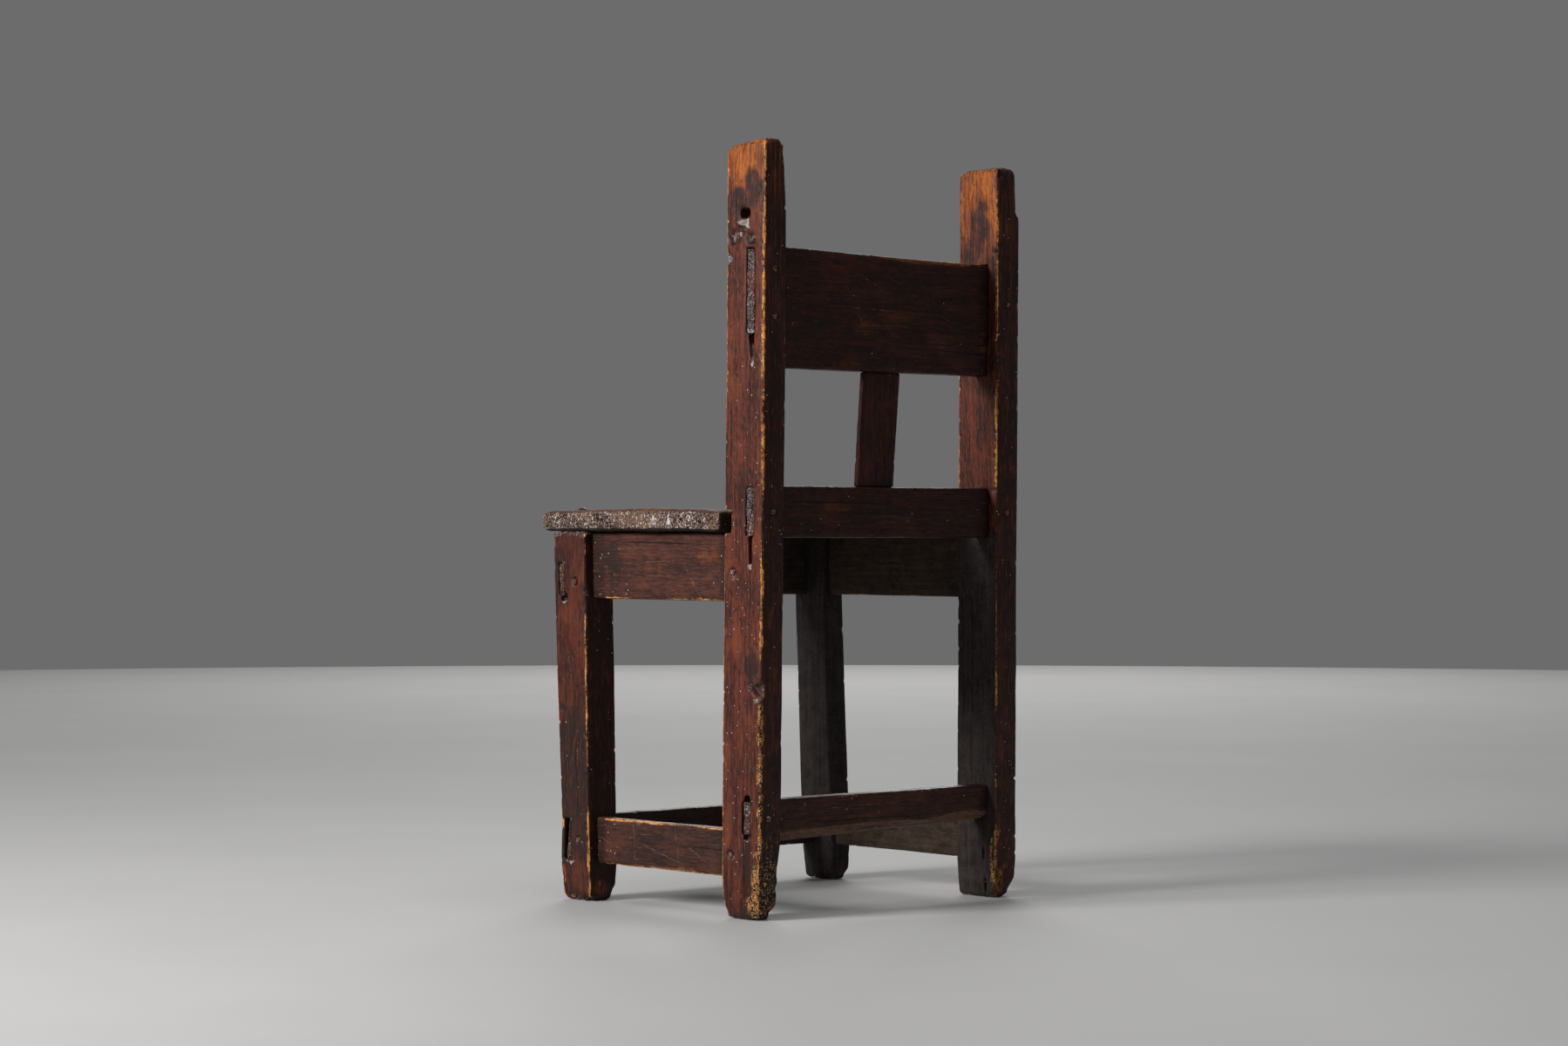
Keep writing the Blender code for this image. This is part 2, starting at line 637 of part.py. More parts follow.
def make_back_rails(uprights, pegs, finishes, parent):
    left, right = uprights["left_post"], uprights["right_post"]
    crest = from_rear_face(CREST_SETBACK, CREST_THICKNESS, CREST_BOTTOM, CREST_TOP)
    crest_tenon = from_rear_face(CREST_SETBACK + BACK_TENON_CHEEK, BACK_TENON_THICKNESS,
                                 CREST_BOTTOM + CREST_TENON_DROP, CREST_TOP - BACK_TENON_CHEEK)
    crest_rail = make_cross_member("crest_rail", left, right, (crest, crest), crest_tenon,
                                   CREST_ARRIS, finishes["back"], parent)
    peg_cross_joint(pegs, "crest_peg_left_upper", left, crest_tenon, CREST_PEG_RISE, LEFT_PEG_SETBACK, True)
    peg_cross_joint(pegs, "crest_peg_left_lower", left, crest_tenon, -CREST_PEG_DROP, LEFT_PEG_SETBACK, True)
    peg_cross_joint(pegs, "crest_peg_right", right, crest_tenon, 0, RIGHT_PEG_SETBACK, True)

    rail = from_rear_face(LOWER_RAIL_SETBACK, LOWER_RAIL_THICKNESS, LOWER_RAIL_BOTTOM, LOWER_RAIL_TOP)
    rail_tenon = from_rear_face(LOWER_RAIL_SETBACK + BACK_TENON_CHEEK, BACK_TENON_THICKNESS,
                                LOWER_RAIL_BOTTOM + BACK_TENON_CHEEK, LOWER_RAIL_TOP - BACK_TENON_CHEEK)
    lower_rail = make_cross_member("lower_back_rail", left, right, (rail, rail), rail_tenon,
                                   LOWER_RAIL_ARRIS, finishes["back"], parent)
    peg_cross_joint(pegs, "lower_back_rail_peg_left", left, rail_tenon, 0, LEFT_PEG_SETBACK, True)
    peg_cross_joint(pegs, "lower_back_rail_peg_right", right, rail_tenon, 0, RIGHT_PEG_SETBACK, True)

    splat_mortises = make_splat(left, finishes["back"], parent)
    for board in (crest_rail, lower_rail):
        cut(board, splat_mortises)
    return [crest_rail, lower_rail]


def back_stretcher_section(height):
    """The stretcher's section at an end: square above, with a chamfer under the rear face."""
    far = POST_DEPTH - BACK_STRETCHER_SETBACK
    near = far - BACK_STRETCHER_THICKNESS
    low = BACK_STRETCHER_TOP - height
    chamfer_top = BACK_STRETCHER_TOP - BACK_STRETCHER_FACE
    return [(near, low), (far - BACK_STRETCHER_CHAMFER, low), (far, chamfer_top),
            (far, BACK_STRETCHER_TOP), (near, BACK_STRETCHER_TOP)]


def make_back_stretcher(uprights, pegs, finishes, parent):
    left, right = uprights["left_post"], uprights["right_post"]
    far = POST_DEPTH - BACK_STRETCHER_SETBACK - BACK_STRETCHER_CHAMFER
    near = far - BACK_STRETCHER_TENON
    least_height = min(BACK_STRETCHER_LEFT_HEIGHT, BACK_STRETCHER_RIGHT_HEIGHT)
    low = BACK_STRETCHER_TOP - least_height + BACK_STRETCHER_SHOULDER
    high = BACK_STRETCHER_TOP - BACK_STRETCHER_SHOULDER
    corners = rectangle(near, far, low, high)
    tenon = [corners[0], ((near + far) / 2, low), *corners[1:]]
    body = (back_stretcher_section(BACK_STRETCHER_LEFT_HEIGHT),
            back_stretcher_section(BACK_STRETCHER_RIGHT_HEIGHT))
    stretcher = make_cross_member("back_stretcher", left, right, body, tenon,
                                  RAIL_ARRIS, finishes["rail"], parent)
    for side, upright in (("left", left), ("right", right)):
        peg_cross_joint(pegs, f"back_stretcher_peg_{side}", upright, corners, 0, STRETCHER_PEG_SETBACK, True)
    return stretcher


def make_front_member(name, setback, low, high, tenon_low, tenon_high, uprights, pegs, finishes, parent):
    left, right = uprights["left_leg"], uprights["right_leg"]
    body = rectangle(setback, setback + FRONT_RAIL_THICKNESS, low, high)
    near = setback + FRONT_TENON_CHEEK
    tenon = rectangle(near, near + FRONT_TENON_THICKNESS, tenon_low, tenon_high)
    member = make_cross_member(name, left, right, (body, body), tenon, RAIL_ARRIS, finishes["rail"], parent)
    for side, upright in (("left", left), ("right", right)):
        peg_cross_joint(pegs, f"{name}_peg_{side}", upright, tenon, 0, STRETCHER_PEG_SETBACK, False)
    return member


def make_seat_frame(uprights, pegs, finishes, parent):
    """The front and side rails under the seat."""
    members = [make_front_member("front_seat_rail", FRONT_RAIL_SETBACK, SEAT_RAIL_BOTTOM, FRAME_TOP,
                                 SEAT_RAIL_BOTTOM + FRONT_RAIL_TENON_LIFT, FRAME_TOP - FRONT_RAIL_TENON_DROP,
                                 uprights, pegs, finishes, parent)]
    tenon_low = SEAT_RAIL_BOTTOM + SEAT_RAIL_TENON_LIFT
    tenon_high = FRAME_TOP - SEAT_RAIL_TENON_DROP
    tenon_middle = (tenon_low + tenon_high) / 2
    for side in ("left", "right"):
        leg, post = uprights[side + "_leg"], uprights[side + "_post"]
        name = side + "_seat_rail"
        members.append(make_side_member(name, leg, post, SEAT_RAIL_BOTTOM, FRAME_TOP,
                                        tenon_low, tenon_high, finishes["rail"], parent))
        peg_side_joints(pegs, name, leg, post, tenon_middle - SEAT_RAIL_PEG_DROP, tenon_middle)
    return members


def make_stretchers(uprights, pegs, finishes, parent):
    """The front and side stretchers near the floor, and the one between the posts."""
    top = STRETCHER_BOTTOM + STRETCHER_HEIGHT
    members = [make_front_member("front_stretcher", FRONT_STRETCHER_SETBACK, STRETCHER_BOTTOM, top,
                                 STRETCHER_BOTTOM + FRONT_STRETCHER_SHOULDER, top - FRONT_STRETCHER_SHOULDER,
                                 uprights, pegs, finishes, parent)]
    for side in ("left", "right"):
        leg, post = uprights[side + "_leg"], uprights[side + "_post"]
        name = side + "_stretcher"
        members.append(make_side_member(name, leg, post, STRETCHER_BOTTOM, top,
                                        STRETCHER_BOTTOM + STRETCHER_SHOULDER, top - STRETCHER_SHOULDER,
                                        finishes["rail"], parent))
        tenon_middle = (STRETCHER_BOTTOM + top) / 2
        peg_side_joints(pegs, name, leg, post, tenon_middle, tenon_middle)
    members.append(make_back_stretcher(uprights, pegs, finishes, parent))
    return members


def make_chair():
    clear_scene()
    chair = bpy.data.objects.new("childs_chair", None)
    bpy.context.collection.objects.link(chair)
    finishes = make_finishes()
    uprights = make_uprights()
    pegs = PegBoard(finishes["peg"], chair)

    pegged = make_back_rails(uprights, pegs, finishes, chair)
    pegged += make_seat_frame(uprights, pegs, finishes, chair)
    pegged += make_stretchers(uprights, pegs, finishes, chair)

    seat = make_seat(uprights["left_leg"], uprights["left_post"], finishes["seat"], chair)
    nail_holes = [make_nail("seat_nail_" + side, uprights[side + "_leg"], finishes["nail"], chair)
                  for side in ("left", "right")]
    nail_bores = make_cutter("nail_bores", nail_holes, chair)
    cut(seat, nail_bores)

    for side, wear_length in (("left", LEFT_TOP_WEAR_LENGTH), ("right", RIGHT_TOP_WEAR_LENGTH)):
        post = uprights[side + "_post"]
        post.sockets.append(seat_notch(post))
        pegged.append(make_post(post, wear_length, finishes["upright"], chair))
        leg = make_leg(uprights[side + "_leg"], finishes["upright"], chair)
        cut(leg, nail_bores)
        pegged.append(leg)

    peg_bores = make_cutter("peg_bores", pegs.holes, chair)
    for piece in pegged:
        cut(piece, peg_bores)


make_chair()
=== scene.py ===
# Looks for a small joined child's chair: red-brown stain rubbed to ochre along the edges,
# rough end grain at the tenons, eaten feet, whittled pegs and two forged nails.
import math

import bmesh
import bpy
import numpy as np
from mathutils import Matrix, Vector


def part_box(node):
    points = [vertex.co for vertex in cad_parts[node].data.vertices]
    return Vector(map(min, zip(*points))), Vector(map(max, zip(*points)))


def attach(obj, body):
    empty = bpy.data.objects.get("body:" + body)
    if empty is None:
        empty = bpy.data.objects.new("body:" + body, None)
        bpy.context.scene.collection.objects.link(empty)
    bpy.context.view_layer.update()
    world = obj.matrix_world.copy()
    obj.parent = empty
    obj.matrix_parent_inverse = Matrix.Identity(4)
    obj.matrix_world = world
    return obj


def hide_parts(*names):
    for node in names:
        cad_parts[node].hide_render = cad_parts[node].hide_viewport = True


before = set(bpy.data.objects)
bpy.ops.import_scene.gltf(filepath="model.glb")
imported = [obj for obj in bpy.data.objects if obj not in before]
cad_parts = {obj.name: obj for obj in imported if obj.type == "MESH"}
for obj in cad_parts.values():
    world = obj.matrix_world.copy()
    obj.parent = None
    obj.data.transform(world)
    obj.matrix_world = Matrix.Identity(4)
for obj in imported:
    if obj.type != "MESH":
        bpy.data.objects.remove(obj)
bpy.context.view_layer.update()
scene = bpy.context.scene
scene.view_settings.view_transform = "Standard"
mm = 0.001
print("frame:", len(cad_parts), "nodes")

# camera, floor and light
viewSet = {
    "place": (1.9246, 2.1173, 0.2987),  # standing behind the chair, on the sitter's left
    "forward": (-0.6736, -0.7391, 0.0028),
    "lens": 79.9,
    "sensor": 36.0,
}
floorSet = {"radius": 5.0, "sides": 96, "dull": 0.8, "pale": (0.54, 0.535, 0.525),
            "cloudy": (0.47, 0.465, 0.46)}
lightSet = {
    "sky": (0.15, 0.15, 0.153),
    "aim": (0.0, 0.0, 0.30),
    "lamps": {  # place, size in metres, watts
        "windowLamp": ((2.35, -0.40, 1.30), 0.8, 64),
        "topLamp": ((0.1, 0.3, 2.5), 1.6, 11),
        "fillLamp": ((-3.4, -3.4, 2.4), 2.2, 75),
    },
}


def linkObject(name, data):
    made = bpy.data.objects.new(name, data)
    scene.collection.objects.link(made)
    return made


def linkMesh(name, form):
    mesh = bpy.data.meshes.new(name)
    form.to_mesh(mesh)
    form.free()
    return linkObject(name, mesh)


def turnedTo(way):
    return Vector(way).to_track_quat("-Z", "Y").to_euler()


def makeCamera():
    camera = linkObject("camera", bpy.data.cameras.new("camera"))
    camera.location = viewSet["place"]
    camera.rotation_euler = turnedTo(viewSet["forward"])
    camera.data.lens = viewSet["lens"]
    camera.data.sensor_width = viewSet["sensor"]
    camera.data.sensor_fit = "HORIZONTAL"
    scene.camera = camera


def makeLamps():
    world = bpy.data.worlds.new("paleRoom")
    world.use_nodes = True
    world.node_tree.nodes["Background"].inputs["Color"].default_value = (*lightSet["sky"], 1)
    scene.world = world
    for name, (place, size, watts) in lightSet["lamps"].items():
        lamp = linkObject(name, bpy.data.lights.new(name, "AREA"))
        lamp.location = place
        lamp.rotation_euler = turnedTo(Vector(lightSet["aim"]) - Vector(place))
        lamp.data.size = size
        lamp.data.energy = watts


# node helpers
def addNode(tree, kind, inputs=None, **settings):
    made = tree.nodes.new("ShaderNode" + kind)
    for key, value in settings.items():
        setattr(made, key, value)
    for key, value in (inputs or {}).items():
        if isinstance(value, bpy.types.NodeSocket):
            tree.links.new(value, made.inputs[key])
        else:
            made.inputs[key].default_value = value
    return made


def maths(tree, operation, first, second=0.0):
    return addNode(tree, "Math", {0: first, 1: second}, operation=operation).outputs[0]


def times(tree, first, second):
    return maths(tree, "MULTIPLY", first, second)


def ease(tree, value, low, high, start=0.0, end=1.0):
    return addNode(tree, "MapRange", {"Value": value, "From Min": low, "From Max": high,
                                      "To Min": start, "To Max": end},
                   interpolation_type="SMOOTHSTEP").outputs["Result"]


def blend(tree, share, under, over):
    inputs = {0: share}
    for slot, colour in ((6, under), (7, over)):
        inputs[slot] = colour if isinstance(colour, bpy.types.NodeSocket) else (*colour, 1.0)
    return addNode(tree, "Mix", inputs, data_type="RGBA").outputs[2]


def weighted(tree, *terms):
    # sum of sockets, each with its weight
    total = 0.0
    for socket, weight in terms:
        total = maths(tree, "ADD", times(tree, socket, weight), total)
    return total


def cloudNoise(tree, where, scale, detail=3.0, roughness=0.55):
    return addNode(tree, "TexNoise", {"Vector": where, "Scale": scale, "Detail": detail,
                                      "Roughness": roughness}).outputs["Fac"]


def stretched(tree, where, scale=(1, 1, 1), shift=(0, 0, 0)):
    return addNode(tree, "Mapping", {"Vector": where, "Scale": scale, "Location": shift}).outputs[0]


def mask(tree, name):
    return addNode(tree, "Attribute", attribute_name=name).outputs["Fac"]


def newFinish(name):
    material = bpy.data.materials.new(name)
    material.use_nodes = True
    tree = material.node_tree
    return material, tree, tree.nodes["Principled BSDF"], addNode(tree, "TexCoord").outputs["Object"]


def dots(tree, where, cell, radius, share):
    # small round marks: one in each cell of that size, kept in a share of the cells
    spots = addNode(tree, "TexVoronoi", {"Vector": where, "Scale": 1 / cell})
    near = ease(tree, spots.outputs["Distance"], radius / cell, radius / cell * 0.55)
    pick = addNode(tree, "SeparateColor", {"Color": spots.outputs["Color"]}).outputs[0]
    return times(tree, near, maths(tree, "LESS_THAN", pick, share))


def makeFloor():
    material, tree, shader, where = newFinish("paleFloor")
    patches = cloudNoise(tree, where, 3.0, 5.0)
    tree.links.new(blend(tree, patches, floorSet["pale"], floorSet["cloudy"]), shader.inputs["Base Color"])
    shader.inputs["Roughness"].default_value = floorSet["dull"]
    form = bmesh.new()
    bmesh.ops.create_circle(form, cap_ends=True, radius=floorSet["radius"], segments=floorSet["sides"])
    floor = linkMesh("floor", form)
    floor.data.materials.append(material)


makeCamera()
makeLamps()
makeFloor()
print("camera, lamps and floor are set")

# noises in the wood: scale, detail, roughness, how far they are drawn out along the grain, shift
grainNoises = {
    "fibre": (420, 5.0, 0.62, 1.0, (0, 0, 0)),
    "hair": (1900, 2.0, 0.6, 1.0, (0, 0, 0)),
    "splinter": (600, 3.0, 0.65, 0.45, (1, 4, 6)),
    "streak": (95, 4.0, 0.55, 0.7, (3, 1, 2)),
    "bright": (900, 2.0, 0.55, 0.8, (8, 6, 1)),
    "cloud": (26, 4.0, 0.6, 0.0, (7, 5, 3)),
    "patch": (85, 4.0, 0.65, 0.0, (2, 9, 4)),
    "nibble": (330, 3.0, 0.7, 0.0, (0, 0, 0)),
    "grit": (800, 3.0, 0.75, 0.0, (0, 0, 0)),
    "crumb": (900, 2.0, 0.6, 0.0, (0, 0, 0)),
    "fleck": (600, 2.0, 0.55, 0.0, (5, 5, 5)),
}
# round marks in the wood: size of the cells and radius
pores = (2.6 * mm, 0.42 * mm)
wormHoles = (8 * mm, 0.75 * mm)
paleSpecks = (5 * mm, 0.58 * mm)


# stained wood: every wooden piece has this build-up, with its own colours
def woodFinish(name, look):
    material, tree, shader, where = newFinish(name)

    def alongGrain(drawn, shift=(0, 0, 0)):
        squeeze = [1.0, 1.0, 1.0]
        squeeze[look["grain"]] = look["stretch"] ** drawn
        return stretched(tree, where, squeeze, shift)

    fibre, hair, splinter, streak, bright, cloud, patch, nibble, grit, crumb, fleck = (
        cloudNoise(tree, alongGrain(drawn, shift), scale, detail, roughness)
        for scale, detail, roughness, drawn, shift in grainNoises.values())

    # stain: streaks along the grain, cloudy where it was rubbed thin or blackened, and darker where the dirt
    # mask holds dirt and painted shade
    tone = weighted(tree, (streak, 0.20), (fibre, 0.30), (splinter, 0.34), (cloud, 0.16))
    colour = blend(tree, ease(tree, tone, 0.43, 0.575), look["deep"], look["stain"])
    thin = weighted(tree, (cloud, 0.6), (streak, 0.25), (fibre, 0.15))
    colour = blend(tree, ease(tree, thin, 0.50, 0.70, 0.0, look["thin"]), colour, look["glow"])
    darkening = weighted(tree, (patch, 0.7), (cloud, 0.3), (mask(tree, "dirt"), 0.5))
    colour = blend(tree, ease(tree, darkening, 0.52, 0.80, 0.0, look["darkening"]), colour, look["sootAndShade"])
    colour = blend(tree, ease(tree, bright, 0.56, 0.70, 0.0, 0.55), colour, look["glow"])
    dashes = dots(tree, alongGrain(1.0), *pores, 0.55)  # open pores, drawn out along the grain
    colour = blend(tree, times(tree, dashes, 0.6), colour, look["sootAndShade"])
    colour = blend(tree, ease(tree, grit, 0.52, 0.72, 0.0, 0.55), colour, look["sootAndShade"])

    # bare wood where hands and feet rubbed it, with a ragged edge that follows the grain
    bareTone = blend(tree, ease(tree, weighted(tree, (fibre, 0.5), (splinter, 0.5)), 0.40, 0.60),
                     look["bareDark"], look["bare"])
    rubbed = weighted(tree, (mask(tree, "rub"), 1.0), (fibre, 0.8), (cloud, 0.7), (patch, 0.5))
    rubbed = ease(tree, rubbed, 1.15, 2.05)
    colour = blend(tree, rubbed, colour, bareTone)
    edge = weighted(tree, (mask(tree, "arris"), 1.0), (nibble, 1.2), (fibre, 0.3))
    edge = ease(tree, edge, 0.76 + look["edgeFrom"], 1.00 + look["edgeFrom"])
    edgeTone = blend(tree, ease(tree, weighted(tree, (grit, 0.3), (splinter, 0.7)), 0.42, 0.58),
                     look["edgeDark"], look["edge"])
    colour = blend(tree, edge, colour, edgeTone)

    # dry wood that was never stained
    dryTone = weighted(tree, (fibre, 0.3), (grit, 0.4), (patch, 0.3))
    dryTone = blend(tree, ease(tree, dryTone, 0.40, 0.60), look["dryDark"], look["dry"])
    dry = ease(tree, weighted(tree, (mask(tree, "raw"), 1.0), (fibre, 0.3), (patch, 0.3)), 0.65, 1.05)
    colour = blend(tree, dry, colour, dryTone)

    # end grain and rotten wood: coarse pores, dusty on the high points
    cells = addNode(tree, "TexVoronoi", {"Vector": where, "Scale": 750})
    gritty = weighted(tree, (ease(tree, cells.outputs["Distance"], 0.15, 0.75), -0.35), (grit, 1.0))
    flecks = ease(tree, fleck, 0.57, 0.65)
    endTone = blend(tree, ease(tree, weighted(tree, (gritty, 1.0), (patch, 0.5)), 0.42, 0.64),
                    look["endDark"], look["end"])
    endTone = blend(tree, ease(tree, weighted(tree, (cloud, 0.7), (streak, 0.3)), 0.46, 0.60, 0.0, 0.6),
                    endTone, look["glow"])
    dusty = ease(tree, patch, 0.36, 0.62, 0.25 * look["dusty"], look["dusty"])
    endTone = blend(tree, times(tree, flecks, dusty), endTone, look["dust"])
    ends = ease(tree, weighted(tree, (mask(tree, "endGrain"), 1.0), (nibble, 0.5)), 0.60, 0.90)
    colour = blend(tree, ends, colour, endTone)
    rotTone = weighted(tree, (splinter, 1.4), (hair, 0.5), (crumb, 0.5))
    rotTone = blend(tree, ease(tree, rotTone, 1.11, 1.30), look["rotDark"], look["rot"])
    # rot darkens where the dirt mask is high, which on the rear faces is painted shade
    rotTone = blend(tree, ease(tree, mask(tree, "dirt"), 0.3, 1.1, 0.0, 0.85), rotTone, look["sootAndShade"])
    rotTone = blend(tree, ease(tree, weighted(tree, (crumb, 0.7), (flecks, 0.12)), 0.42, 0.48, 0.0, 0.85),
                    rotTone, look["rotPale"])
    rotten = weighted(tree, (mask(tree, "rot"), 1.0), (nibble, 1.2), (fibre, 1.4))
    rotten = ease(tree, rotten, 1.70, 2.10)
    colour = blend(tree, rotten, colour, rotTone)

    # worm holes, pale specks, scratches and cracks
    worms = dots(tree, stretched(tree, where, shift=(0.11, 0.07, 0.05)), *wormHoles, 0.5)
    colour = blend(tree, worms, colour, look["sootAndShade"])
    specks = dots(tree, stretched(tree, where, shift=(0.03, 0.02, 0.09)), *paleSpecks, look["specks"])
    kept = ease(tree, weighted(tree, (patch, 0.7), (dry, -0.4)), 0.20, 0.38)
    colour = blend(tree, times(tree, times(tree, specks, kept), 0.95), colour, look["speck"])
    line = weighted(tree, (mask(tree, "scratch"), 1.0), (nibble, 1.2), (hair, -1.2))
    line = ease(tree, maths(tree, "ABSOLUTE", line), 0.40, 0.12)
    scratch = times(tree, line, ease(tree, nibble, 0.42, 0.60))
    colour = blend(tree, times(tree, scratch, 0.5), colour, look["scratch"])
    wander = times(tree, maths(tree, "SUBTRACT", streak, 0.5), 3.0)
    gap = maths(tree, "ABSOLUTE", maths(tree, "ADD", mask(tree, "crack"), wander))
    crack = ease(tree, gap, 0.55, 0.25)
    colour = blend(tree, times(tree, crack, 0.9), colour, look["void"])
    daubed = mask(tree, "paint")  # old paint on the seat, pale chips on the uprights, and a painted highlight on the knot hole's lip
    daub = ease(tree, weighted(tree, (daubed, 1.0), (nibble, 1.2), (grit, 0.9)), 1.50, 1.85)
    daub = times(tree, daub, ease(tree, daubed, 0.02, 0.12, 0.0, 0.92))
    colour = blend(tree, daub, colour, look["paint"])
    tree.links.new(colour, shader.inputs["Base Color"])

    # sheen: polished where it is stained, dull where it is bare, dry or end grain
    dull = ease(tree, patch, 0.3, 0.75, look["polish"], look["polish"] + 0.22)
    for share, level in ((rubbed, 0.54), (edge, 0.5), (dry, 0.88), (ends, 0.8), (rotten, 0.85)):
        dull = addNode(tree, "Mix", {0: share, 2: dull, 3: level}).outputs[0]
    tree.links.new(dull, shader.inputs["Roughness"])
    shader.inputs["Specular IOR Level"].default_value = look["gloss"]

    # relief
    coarse = times(tree, gritty, maths(tree, "MAXIMUM", ends, rotten))
    height = weighted(tree, (fibre, 0.7), (splinter, 1.2), (patch, 0.4), (worms, -1.6), (crack, -2.4),
                      (dashes, -0.5), (scratch, -0.5), (coarse, 3.0))
    bump = addNode(tree, "Bump", {"Height": height, "Strength": look["relief"], "Distance": 0.5 * mm})
    tree.links.new(bump.outputs["Normal"], shader.inputs["Normal"])
    return material


uprightLook = {
    "grain": 2, "stretch": 0.045,
    "deep": (0.025, 0.0062, 0.0043), "stain": (0.124, 0.0262, 0.0116), "glow": (0.205, 0.048, 0.0155),
    "thin": 0.7, "sootAndShade": (0.013, 0.0075, 0.0062), "darkening": 0.8,
    "bareDark": (0.145, 0.031, 0.005), "bare": (0.40, 0.108, 0.013),
    "edgeDark": (0.19, 0.060, 0.013), "edge": (0.76, 0.345, 0.088), "edgeFrom": 0.55,
    "dryDark": (0.012, 0.0088, 0.0080), "dry": (0.042, 0.0320, 0.0285),
    "endDark": (0.006, 0.005, 0.0048), "end": (0.125, 0.098, 0.094), "dust": (0.52, 0.46, 0.43), "dusty": 0.8,
    "rotDark": (0.014, 0.0075, 0.0040), "rot": (0.46, 0.185, 0.042), "rotPale": (0.70, 0.54, 0.33),
    "speck": (0.62, 0.56, 0.48), "specks": 0.35, "scratch": (0.32, 0.18, 0.115),
    # the pale grey of chips, also used as a painted highlight on the knot hole's lip
    "void": (0.006, 0.004, 0.0035), "paint": (0.40, 0.36, 0.34),
    "polish": 0.40, "gloss": 0.22, "relief": 0.75,
}
legLook = dict(uprightLook, deep=(0.018, 0.0046, 0.0032), stain=(0.086, 0.0175, 0.0072),
               glow=(0.150, 0.035, 0.0105), specks=0.5)
backLook = dict(uprightLook, grain=0, deep=(0.013, 0.0042, 0.0032), stain=(0.042, 0.0100, 0.0052),
                glow=(0.112, 0.021, 0.0078), specks=0.08, edgeFrom=0.62, edgeDark=(0.11, 0.036, 0.012),
                edge=(0.30, 0.125, 0.044), bareDark=(0.075, 0.019, 0.007), bare=(0.20, 0.062, 0.018))
splatLook = dict(backLook, grain=2, stain=(0.050, 0.0115, 0.0055))
sideRailLook = dict(uprightLook, grain=1, deep=(0.030, 0.0105, 0.0075), stain=(0.088, 0.026, 0.0150),
                    glow=(0.160, 0.043, 0.0170), specks=0.5, dryDark=(0.016, 0.0102, 0.0072),
                    dry=(0.060, 0.0375, 0.0235))
stretcherLook = dict(sideRailLook, deep=(0.021, 0.0085, 0.0068), stain=(0.064, 0.0205, 0.0130),
                     glow=(0.105, 0.035, 0.0170), bareDark=(0.115, 0.036, 0.012), bare=(0.30, 0.118, 0.040))
crossRailLook = dict(sideRailLook, grain=0, deep=(0.022, 0.0075, 0.0055), stain=(0.064, 0.018, 0.0100),
                     glow=(0.110, 0.034, 0.0160), bareDark=(0.055, 0.026, 0.016), bare=(0.17, 0.088, 0.052),
                     specks=0.2, dryDark=(0.014, 0.0095, 0.0075), dry=(0.050, 0.0360, 0.0275))
frontRailLook = dict(crossRailLook, end=(0.130, 0.072, 0.042), endDark=(0.010, 0.006, 0.0045), dusty=0.35)
seatLook = dict(uprightLook, grain=0, deep=(0.050, 0.022, 0.013), stain=(0.125, 0.056, 0.030),
                glow=(0.22, 0.118, 0.070), end=(0.24, 0.152, 0.116), endDark=(0.008, 0.005, 0.004),
                dust=(0.82, 0.74, 0.69), dusty=1.0, paint=(0.76, 0.72, 0.69), polish=0.62, gloss=0.15,
                relief=0.9)
pegLook = dict(uprightLook, grain=1, end=(0.23, 0.148, 0.095), endDark=(0.022, 0.012, 0.008), specks=0.0,
               dusty=0.5, edgeDark=(0.16, 0.095, 0.058), edge=(0.42, 0.29, 0.19))
looks = {
    "stainedUprightWood": uprightLook, "stainedLegWood": legLook, "stainedBackWood": backLook,
    "stainedSplatWood": splatLook, "stainedSideRailWood": sideRailLook, "stainedStretcherWood": stretcherLook,
    "stainedCrossRailWood": crossRailLook, "stainedFrontRailWood": frontRailLook, "rubbedSeatWood": seatLook,
    "whittledPegWood": pegLook,
    "dustyPegWood": dict(pegLook, end=(0.30, 0.25, 0.22), dust=(0.66, 0.62, 0.60), dusty=0.9),
}
woods = {name: woodFinish(name, look) for name, look in looks.items()}
print("wood finishes:", len(woods))


# mesh helpers
def latticeNoise(points, size, seed):
    spots = points / np.asarray(size)
    base = np.floor(spots).astype(np.int64)
    part = spots - base
    part = part * part * (3 - 2 * part)
    total = np.zeros(len(points))
    for corner in range(8):
        step = np.array([(corner >> k) & 1 for k in range(3)])
        cell = base + step
        mixed = (cell @ np.array([374761393, 668265263, 2147483647]) + seed * 144665) & 0xFFFFFFFF
        mixed = ((mixed ^ (mixed >> 13)) * 1274126177) & 0xFFFFFFFF
        value = (mixed ^ (mixed >> 16)) / 2147483648.0 - 1
        total += value * np.prod(np.where(step == 1, part, 1 - part), axis=1)
    return total


def layeredNoise(points, size, seed, layers=3):
    return sum(latticeNoise(points, np.asarray(size) / 2 ** k, seed + 17 * k) / 2 ** k for k in range(layers))


def step01(value, low, high):
    t = np.clip((value - low) / (high - low), 0, 1)
    return t * t * (3 - 2 * t)


def readMesh(mesh):
    points = np.empty(len(mesh.vertices) * 3)
    mesh.vertices.foreach_get("co", points)
    normals = np.empty(len(mesh.vertices) * 3)
    mesh.vertex_normals.foreach_get("vector", normals)
    return points.reshape(-1, 3), normals.reshape(-1, 3)


def softened(points, edges, rounds):
    a, b = edges.T
    count = np.bincount(edges.ravel(), minlength=len(points))[:, None]
    for _ in range(rounds):
        total = [np.bincount(a, points[b, k], len(points)) + np.bincount(b, points[a, k], len(points))
                 for k in range(3)]
        points = np.stack(total, 1) / count
    return points


def lofted(name, rings):
    form = bmesh.new()
    loops = [[form.verts.new(corner) for corner in ring] for ring in rings]
    for near, far in zip(loops, loops[1:]):
        for i in range(len(near)):
            j = (i + 1) % len(near)
            form.faces.new((near[i], near[j], far[j], far[i]))
    form.faces.new(loops[0])
    form.faces.new(loops[-1])
    bmesh.ops.recalc_face_normals(form, faces=form.faces)
    return linkMesh(name, form)


